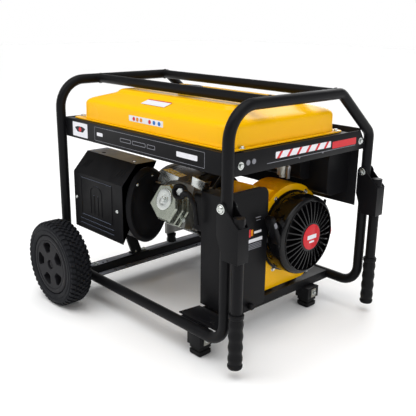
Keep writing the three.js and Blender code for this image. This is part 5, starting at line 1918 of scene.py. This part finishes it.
# ---- control panel ----------------------------------------------------------------------------
@dataclass
class ControlPanel:
    """The control panel on the far side: outlets, breaker, voltmeter, earth terminal, box."""

    def build(self) -> None:
        """Build the panel and what is on it."""
        refined("control_panel", SHEET_COAT, 0.6)
        refined("control_box", GRAINED_NYLON, 4, 4, 25)
        self.outlets()
        self.breaker()
        self.meter()
        self.details()

    def outlets(self) -> None:
        """Mould the two round outlets with contacts and a lip."""
        for node in ("outlet_1", "outlet_2"):
            low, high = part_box(node)
            cx, cz = (low.x + high.x) / 2, (low.z + high.z) / 2
            refined(node, GRAINED_NYLON, 0.8)
            lip = turned(Axis.Y, [
                (19.5 * MM, high.y - 1 * MM), (28 * MM, high.y - 1 * MM), (26 * MM, high.y + 2 * MM),
                (21 * MM, high.y + 2 * MM), (19.5 * MM, high.y - 1 * MM),
            ], (cx, cz), 64)
            piece(f"{node}_lip", lip, GRAINED_NYLON, soften=0.4)
            pins = [rod(Axis.Y, 2.6 * MM, high.y - 18 * MM, high.y - 9 * MM,
                        (cx + 9.5 * MM * math.cos(t), cz + 9.5 * MM * math.sin(t)), 16)
                    for t in (0, math.pi)]
            clips = [box((cx - 2 * MM, high.y - 17 * MM, cz + s * 15 * MM),
                         (cx + 2 * MM, high.y - 8 * MM, cz + s * 18 * MM)) for s in (-1, 1)]
            piece(f"{node}_contacts", merged(*pins, *clips), TURNED_STEEL, soften=0.2)
            heads = [screw((0, 1, 0), (cx + s * 23.5 * MM, high.y + 1.8 * MM, cz), 2.6) for s in (-1, 1)]
            piece(f"{node}_screws", merged(*heads), ZINC_PLATE, soften=0)

    def breaker(self) -> None:
        """Dress the breaker and its toggle."""
        refined("breaker", GRAINED_NYLON, 0.8)
        refined("breaker_toggle", GRAINED_NYLON, 1.0, 3)
        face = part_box("breaker")[1].y
        x, _, z = middle("breaker")
        heads = [screw((0, 1, 0), (x, face, z + s * 20 * MM), 2.6) for s in (-1, 1)]
        piece("breaker_screws", merged(*heads), ZINC_PLATE, soften=0)

    def meter(self) -> None:
        """Fit the voltmeter: bezel, pale dial with ticks, and hand."""
        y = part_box("control_panel")[1].y
        cx, cz = -0.15, 0.41
        bezel = prism(Axis.Y, round_box(cx - 24 * MM, cz - 24 * MM, cx + 24 * MM, cz + 24 * MM, 5 * MM),
                      y, y + 6 * MM, [round_box(cx - 19 * MM, cz - 19 * MM, cx + 19 * MM,
                                                cz + 19 * MM, 3 * MM)])
        piece("voltmeter_bezel", bezel, GLOSS_POLYPROPYLENE, soften=0.8)
        dial = prism(Axis.Y, round_box(cx - 20 * MM, cz - 20 * MM, cx + 20 * MM, cz + 20 * MM, 2 * MM),
                     y, y + 2 * MM)
        piece("voltmeter_dial", dial, WHITE_FILM, soften=0)
        ticks = []
        for k in range(11):
            t = math.radians(150 - 12 * k)
            near, far = 12 * MM, 15.5 * MM
            side = Vector((-math.sin(t), 0, math.cos(t))) * 0.4 * MM
            way = Vector((math.cos(t), 0, math.sin(t)))
            foot = Vector((cx, y + 2 * MM, cz - 8 * MM))
            corners = [foot + way * near - side, foot + way * far - side,
                       foot + way * far + side, foot + way * near + side]
            ticks.append(lofted([[p + Vector((0, d, 0)) for p in corners] for d in (0, 0.3 * MM)]))
        hand = prism(Axis.Y, [(cx - 0.8 * MM, cz - 10 * MM), (cx + 0.8 * MM, cz - 10 * MM),
                              (cx - 6 * MM, cz + 9 * MM)], y + 2.4 * MM, y + 2.8 * MM)
        piece("voltmeter_marks", merged(hand, *ticks), CHARCOAL_FILM, soften=0)

    def details(self) -> None:
        """Add the panel's screws, earth terminal and plain printed outlines."""
        low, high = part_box("control_panel")
        y = high.y
        heads = [screw((0, 1, 0), (x, y, z), 4) for x in (low.x + 14 * MM, high.x - 14 * MM)
                 for z in (low.z + 14 * MM, high.z - 14 * MM)]
        piece("panel_screws", merged(*heads), ZINC_PLATE, soften=0)
        panel = middle("control_panel")
        earth = (panel.x + 239.25 * MM, panel.z - 67.5 * MM)
        stud = merged(rod(Axis.Y, 3 * MM, y, y + 16 * MM, earth, 16),
                      prism(Axis.Y, hexagon(earth, 7 * MM), y, y + 6 * MM))
        piece("earth_terminal", stud, ZINC_PLATE, soften=0.4)
        t = 1 * MM
        rims = []
        z0, z1 = panel.z - 37.5 * MM, panel.z + 54.5 * MM
        for u0, u1 in ((-175.75, -90.75), (-78.75, 99.25), (121.25, 179.25)):
            x0, x1 = panel.x + u0 * MM, panel.x + u1 * MM
            rims.append(prism(Axis.Y, round_box(x0, z0, x1, z1, 4 * MM), y, y + 0.3 * MM,
                              [round_box(x0 + t, z0 + t, x1 - t, z1 - t, 3 * MM)]))
        piece("panel_outlines", merged(*rims), SILVER_FILM, soften=0)


# ---- wheels and handles -----------------------------------------------------------------------
@dataclass
class Wheel:
    """One wheel: knobby tyre, windowed disc, hub cap and its axle bracket."""

    side: str
    radius: float = 118 * MM
    tread: float = 4.5 * MM
    rows: int = 46
    windows: int = 5
    face: float = 3.0
    depth: float = 14.0

    def build(self) -> None:
        """Build the wheel about its own axle."""
        low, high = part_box(f"{self.side}_tyre")
        self.x, self.z = (low.x + high.x) / 2, (low.z + high.z) / 2
        self.out = -1 if self.side == "near" else 1
        self.y = (low.y + high.y) / 2
        self.half = (high.y - low.y) / 2
        self.body = f"{self.side}_wheel"
        self.tyre()
        self.disc()
        refined(f"{self.side}_axle_bracket", SHEET_COAT, 0.8)

    def across(self, inward: float) -> float:
        """Return a place across the machine from its depth, in millimetres, in the wheel's face."""
        return self.y + self.out * (self.half - inward * MM)

    def tyre(self) -> None:
        """Mould the tyre's carcass and its staggered tread blocks."""
        h = self.half
        r = self.radius - self.tread
        sections = [
            (82, -h + 6 * MM), (84, -h + 3 * MM), (88, -h + 1.4 * MM), (95, -h + 1.2 * MM),
            (96, -h + 2.2 * MM), (97.5, -h + 2.2 * MM), (98.5, -h + 1.0 * MM), (104, -h + 0.6 * MM),
            (109, -h + 3.5 * MM), (112, -h + 8 * MM), (113.5, -h + 15 * MM),
        ]
        profile = [(a * MM, b) for a, b in sections]
        profile += [(a * MM, -b) for a, b in reversed(sections)]
        profile.append(profile[0])
        carcass = turned(Axis.Y, [(a, self.y + b) for a, b in profile], (self.x, self.z), 96)
        blocks = bmesh.new()
        for k in range(self.rows):
            for j, offset in enumerate((-25, -13.5, -4.6, 4.6, 13.5, 25)):
                t = 2 * math.pi * (k + 0.5 * (j % 2)) / self.rows
                self.block(blocks, r, t, offset * MM, shoulder=j in (0, 5))
        bmesh.ops.recalc_face_normals(blocks, faces=blocks.faces)
        piece(f"{self.side}_tyre_tread", merged(carcass, blocks), TREAD_RUBBER, self.body,
              (f"{self.side}_tyre",), soften=0.7, sharp=34)

    def block(self, bm: Mesh, r: float, t: float, offset: float, shoulder: bool) -> None:
        """Add one tread block.

        Args:
            bm: The mesh it is added to.
            r: The radius it stands on.
            t: Its angle round the axle.
            offset: Its place across the tread.
            shoulder: Whether it wraps over the tyre's shoulder.
        """
        along, wide = (5.4 * MM, 4.6 * MM) if not shoulder else (5.0 * MM, 5.6 * MM)
        drop = 4.5 * MM if shoulder else 0.0
        skew = 1.6 * MM * (1 if offset > 0 else -1)
        out = Vector((math.cos(t), 0, math.sin(t)))
        way = Vector((-math.sin(t), 0, math.cos(t)))
        centre = Vector((self.x, self.y + offset, self.z))
        rings = []
        for level, share in ((-3 * MM, 1.0), (self.tread * 0.75, 0.94), (self.tread, 0.78)):
            ring = []
            for a, b in ((-1, -1), (1, -1), (1, 1), (-1, 1)):
                outer = abs(offset + b * wide) > abs(offset) and shoulder
                lift = r + level - (drop if outer else 0.0)
                place = centre + way * (a * along * share + b * skew) + Vector((0, b * wide * share, 0))
                ring.append(bm.verts.new(place + out * lift))
            rings.append(ring)
        for first, second in zip(rings, rings[1:]):
            for i in range(4):
                bm.faces.new((first[i], first[i - 1], second[i - 1], second[i]))
        bm.faces.new(rings[0])
        bm.faces.new(list(reversed(rings[-1])))

    def disc(self) -> None:
        """Mould the wheel disc: rounded windows, ring groove, barrel and hub."""
        holes = [
            [(self.x + p[0], self.z + p[1]) for p in self.window(k)] for k in range(self.windows)
        ]
        bore = circle((self.x, self.z), 13 * MM, 40)
        y0, y1 = sorted((self.across(self.face), self.across(self.face + self.depth)))
        plate = prism(Axis.Y, circle((self.x, self.z), 68 * MM, 96), y0, y1, [*holes, bore])

        def turn(pairs: Sequence[Point], count: int = 96) -> Mesh:
            """Turn a closed profile.

            Args:
                pairs: Points as (radius, depth inwards), in millimetres.
                count: Steps round.

            Returns:
                The closed solid.
            """
            profile = [(a * MM, self.across(b)) for a, b in pairs]
            return turned(Axis.Y, [*profile, profile[0]], (self.x, self.z), count)

        rim = turn([(67, 5.0), (69, 3.2), (74, 2.4), (80, 3.2), (81.7, 6), (81.7, 58), (77, 58),
                    (76, 20), (67, 17)])
        hub = turn([(12.5, 6), (15, 4), (21, 4), (23, 5.5), (25, 8), (25, 54), (9, 54), (9, 12),
                    (12.5, 11)], 64)
        piece(f"{self.side}_wheel_disc", merged(plate, rim, hub), MATT_POLYPROPYLENE, self.body,
              (f"{self.side}_rim",), soften=1.6, steps=3, sharp=38)
        cap = turn([(0, 6.5), (7, 6.2), (10.5, 7.5), (11.5, 10), (0, 12)], 48)
        piece(f"{self.side}_hub_cap", cap, MATT_POLYPROPYLENE, self.body, soften=0.5)

    def window(self, k: int) -> list[tuple]:
        """Return the outline of one rounded window of the disc, about the axle.

        Args:
            k: The window's number round the disc.

        Returns:
            The points of the outline.
        """
        turn = math.radians(90 + 14) + 2 * math.pi * k / self.windows
        inner, outer = 33 * MM, 62 * MM
        points = [
            *arc((inner + 8 * MM, -4 * MM), 8 * MM, 200, 270, 4),
            *arc((outer - 13 * MM, -8 * MM), 12 * MM, 290, 360, 6),
            *arc((outer - 13 * MM, 8 * MM), 12 * MM, 0, 70, 6),
            *arc((inner + 8 * MM, 4 * MM), 8 * MM, 90, 160, 4),
        ]
        return [(u * math.cos(turn) - v * math.sin(turn), u * math.sin(turn) + v * math.cos(turn))
                for u, v in points]


@dataclass
class Handle:
    """One folding handle: forked bracket, tube, end plug, ribbed grip and pivot bolt."""

    side: str
    tube: float = 13 * MM
    waves: int = 4

    def build(self) -> None:
        """Build the handle in its folded place."""
        self.body = f"{self.side}_handle"
        low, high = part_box(f"{self.side}_handle_grip")
        self.x, self.y = (low.x + high.x) / 2, (low.y + high.y) / 2
        self.low, self.high = low.z, high.z
        self.bar()
        self.grip()
        self.pivot()

    def bar(self) -> None:
        """Dress the forked bar, sleeve its tube and plug the tube's end."""
        refined(f"{self.side}_handle_bar", POWDER_COAT, 1.0, 3, 35)
        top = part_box(f"{self.side}_handle_bar")[1].z - 31 * MM
        sleeve = turned(Axis.Z, [
            (self.tube - 0.2 * MM, self.high - 6 * MM), (self.tube + 0.15 * MM, self.high - 6 * MM),
            (self.tube + 0.15 * MM, top - 3 * MM), (self.tube - 0.2 * MM, top - 3 * MM),
            (self.tube - 0.2 * MM, self.high - 6 * MM),
        ], (self.x, self.y), 48)
        piece(f"{self.side}_handle_tube", sleeve, POWDER_COAT, self.body, soften=0, sharp=60)
        plug = lofted([
            [(u, v, z) for u, v in circle((self.x, self.y), r, 8)]
            for z, r in (
                (top - 12 * MM, 14.5 * MM), (top + 1.5 * MM, 14.5 * MM), (top + 3.2 * MM, 13 * MM),
            )
        ])
        piece(f"{self.side}_handle_plug", plug, GRAINED_NYLON, self.body, soften=1.0)

    def grip(self) -> None:
        """Mould the grip with its collar, finger waves and rounded end."""
        rows = 44
        profile = [(0, self.low), (12 * MM, self.low), (15.5 * MM, self.low + 1.5 * MM),
                   (17.3 * MM, self.low + 5 * MM), (17.3 * MM, self.low + 9 * MM)]
        span = self.high - self.low - 22 * MM
        for i in range(rows + 1):
            u = i / rows
            ripple = 0.5 - 0.5 * math.cos(2 * math.pi * self.waves * u)
            profile.append((15.1 * MM + 1.9 * MM * ripple, self.low + 11 * MM + span * u))
        profile += [(17.4 * MM, self.high - 9 * MM), (17.5 * MM, self.high - 2 * MM),
                    (16.3 * MM, self.high), (13.3 * MM, self.high), (13.3 * MM, self.low + 3 * MM),
                    (0, self.low + 3 * MM)]
        piece(f"{self.side}_grip", turned(Axis.Z, profile, (self.x, self.y), 56), GRIP_VINYL,
              self.body, (f"{self.side}_handle_grip",), soften=0, sharp=50)

    def pivot(self) -> None:
        """Turn the pivot bolt with a domed head and a locking nut."""
        node = f"{self.side}_pivot_bolt"
        low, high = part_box(node)
        x, z = (low.x + high.x) / 2, (low.z + high.z) / 2
        head_side, nut_side = (low.y, high.y) if self.side == "near" else (high.y, low.y)
        out = -1 if self.side == "near" else 1
        base = head_side - out * 7 * MM
        far_base = nut_side + out * 7 * MM
        profile = [(0, 0), (11 * MM, 0), (11 * MM, 1.4 * MM), (9 * MM, 1.8 * MM), (8.6 * MM, 4.4 * MM),
                   (7 * MM, 6.2 * MM), (4.2 * MM, 6.9 * MM), (3.4 * MM, 5.2 * MM), (0, 5.0 * MM)]
        head = moved(turned(Axis.Z, profile, (0, 0), 32), facing((0, out, 0), (x, base, z)))
        nut = bolt((0, -out, 0), (x, far_base, z), 7.5, 9.8)
        shank = rod(Axis.Y, 5 * MM, min(base, far_base), max(base, far_base), (x, z), 24)
        piece(f"{self.side}_pivot", merged(head, nut, shank), ZINC_PLATE, GROUP, (node,), soften=0.3)


# ---- studio -----------------------------------------------------------------------------------
@dataclass
class Studio:
    """The camera, the pale floor, the room and the soft lights."""

    eye: tuple[float, float, float] = (1.2174, -1.1654, 0.7758)
    aim: tuple[float, float, float] = (-0.0133, 0.0, 0.262)
    roll: float = math.radians(0.81)
    lens: float = 55.2
    band: tuple[float, float] = (0.22, 0.34)
    dim: float = 0.22

    def build(self) -> None:
        """Build camera, floor and light."""
        self.camera()
        self.floor()
        self.light("key", (-0.9, -1.9, 2.3), 1.8, 18)
        self.light("fill", (2.4, -0.3, 1.5), 1.6, 9)
        self.sky_light("top", (0.2, -0.3, 2.8), 70, 2.5)
        self.light("back", (-0.6, 2.4, 1.6), 1.6, 20)
        self.room()
        bpy.context.scene.view_settings.view_transform = "Standard"

    def room(self) -> None:
        """Surround the machine with a dim room that ends in a white band at the horizon."""
        world = bpy.data.worlds.new("room")
        bpy.context.scene.world = world
        world.use_nodes = True
        tree = world.node_tree
        sky = tree.nodes["Background"]
        way = add_node(tree, "ShaderNodeTexCoord").outputs["Generated"]
        parts = add_node(tree, "ShaderNodeSeparateXYZ", {}, {"Vector": way})
        band = add_node(
            tree, "ShaderNodeMapRange",
            {"From Min": self.band[0], "From Max": self.band[1], "To Min": 1.0, "To Max": self.dim},
            {"Value": parts.outputs["Z"]},
        )
        sky.inputs["Color"].default_value = linear("#ffffff")
        tree.links.new(band.outputs["Result"], sky.inputs["Strength"])

    def camera(self) -> None:
        """Place the camera above the machine, looking down at its right near corner."""
        data = bpy.data.cameras.new("camera")
        data.lens = self.lens
        camera = bpy.data.objects.new("camera", data)
        bpy.context.scene.collection.objects.link(camera)
        camera.location = self.eye
        look = Vector(self.aim) - Vector(self.eye)
        camera.rotation_mode = "QUATERNION"
        camera.rotation_quaternion = look.to_track_quat("-Z", "Y") @ Quaternion((0, 0, 1), self.roll)
        bpy.context.scene.camera = camera

    def floor(self) -> None:
        """Lay the floor under the wheels."""
        mesh = bpy.data.meshes.new("floor")
        size = 14.0
        mesh.from_pydata([(-size, -size, 0), (size, -size, 0), (size, size, 0), (-size, size, 0)], [],
                         [(0, 1, 2, 3)])
        floor = bpy.data.objects.new("floor", mesh)
        bpy.context.scene.collection.objects.link(floor)
        material = bpy.data.materials.new("pale_floor")
        material.use_nodes = True
        shader = material.node_tree.nodes["Principled BSDF"]
        shader.inputs["Base Color"].default_value = linear("#fcfcfc")
        shader.inputs["Roughness"].default_value = 0.75
        mesh.materials.append(material)

    def sky_light(self, name: str, place: Point, spread: float, power: float) -> None:
        """Hang one wide, far light, so that floor and machine are lit evenly.

        Args:
            name: The light's name.
            place: The direction that it comes from.
            spread: Its width in degrees, seen from the machine.
            power: Its strength.
        """
        data = bpy.data.lights.new(name, "SUN")
        data.energy = power
        data.angle = math.radians(spread)
        lamp = bpy.data.objects.new(name, data)
        bpy.context.scene.collection.objects.link(lamp)
        lamp.rotation_mode = "QUATERNION"
        lamp.rotation_quaternion = (-Vector(place)).to_track_quat("-Z", "Y")

    def light(self, name: str, place: Point, size: float, power: float) -> None:
        """Hang one soft square light that faces the machine.

        Args:
            name: The light's name.
            place: Where it hangs.
            size: Its side.
            power: Its power in watts.
        """
        data = bpy.data.lights.new(name, "AREA")
        data.energy = power
        data.size = size
        lamp = bpy.data.objects.new(name, data)
        bpy.context.scene.collection.objects.link(lamp)
        lamp.location = place
        aim = Vector((0, 0, 0.3)) - Vector(place)
        lamp.rotation_mode = "QUATERNION"
        lamp.rotation_quaternion = aim.to_track_quat("-Z", "Y")


def main() -> None:
    """Build every sub-assembly in order, then the studio."""
    logging.basicConfig(level=logging.INFO, format="%(message)s")
    assemblies = (
        Cage(), Feet(), Belts(), FuelTank(), FuelLine(), Engine(), Exhaust(), Alternator(), Shroud(),
        RecoilStarter(), ControlPanel(), Wheel("near"), Wheel("far"), Handle("near"), Handle("far"),
        Studio(),
    )
    for assembly in assemblies:
        assembly.build()
        log.info("built %s", type(assembly).__name__)


if __name__ == "__main__":
    main()
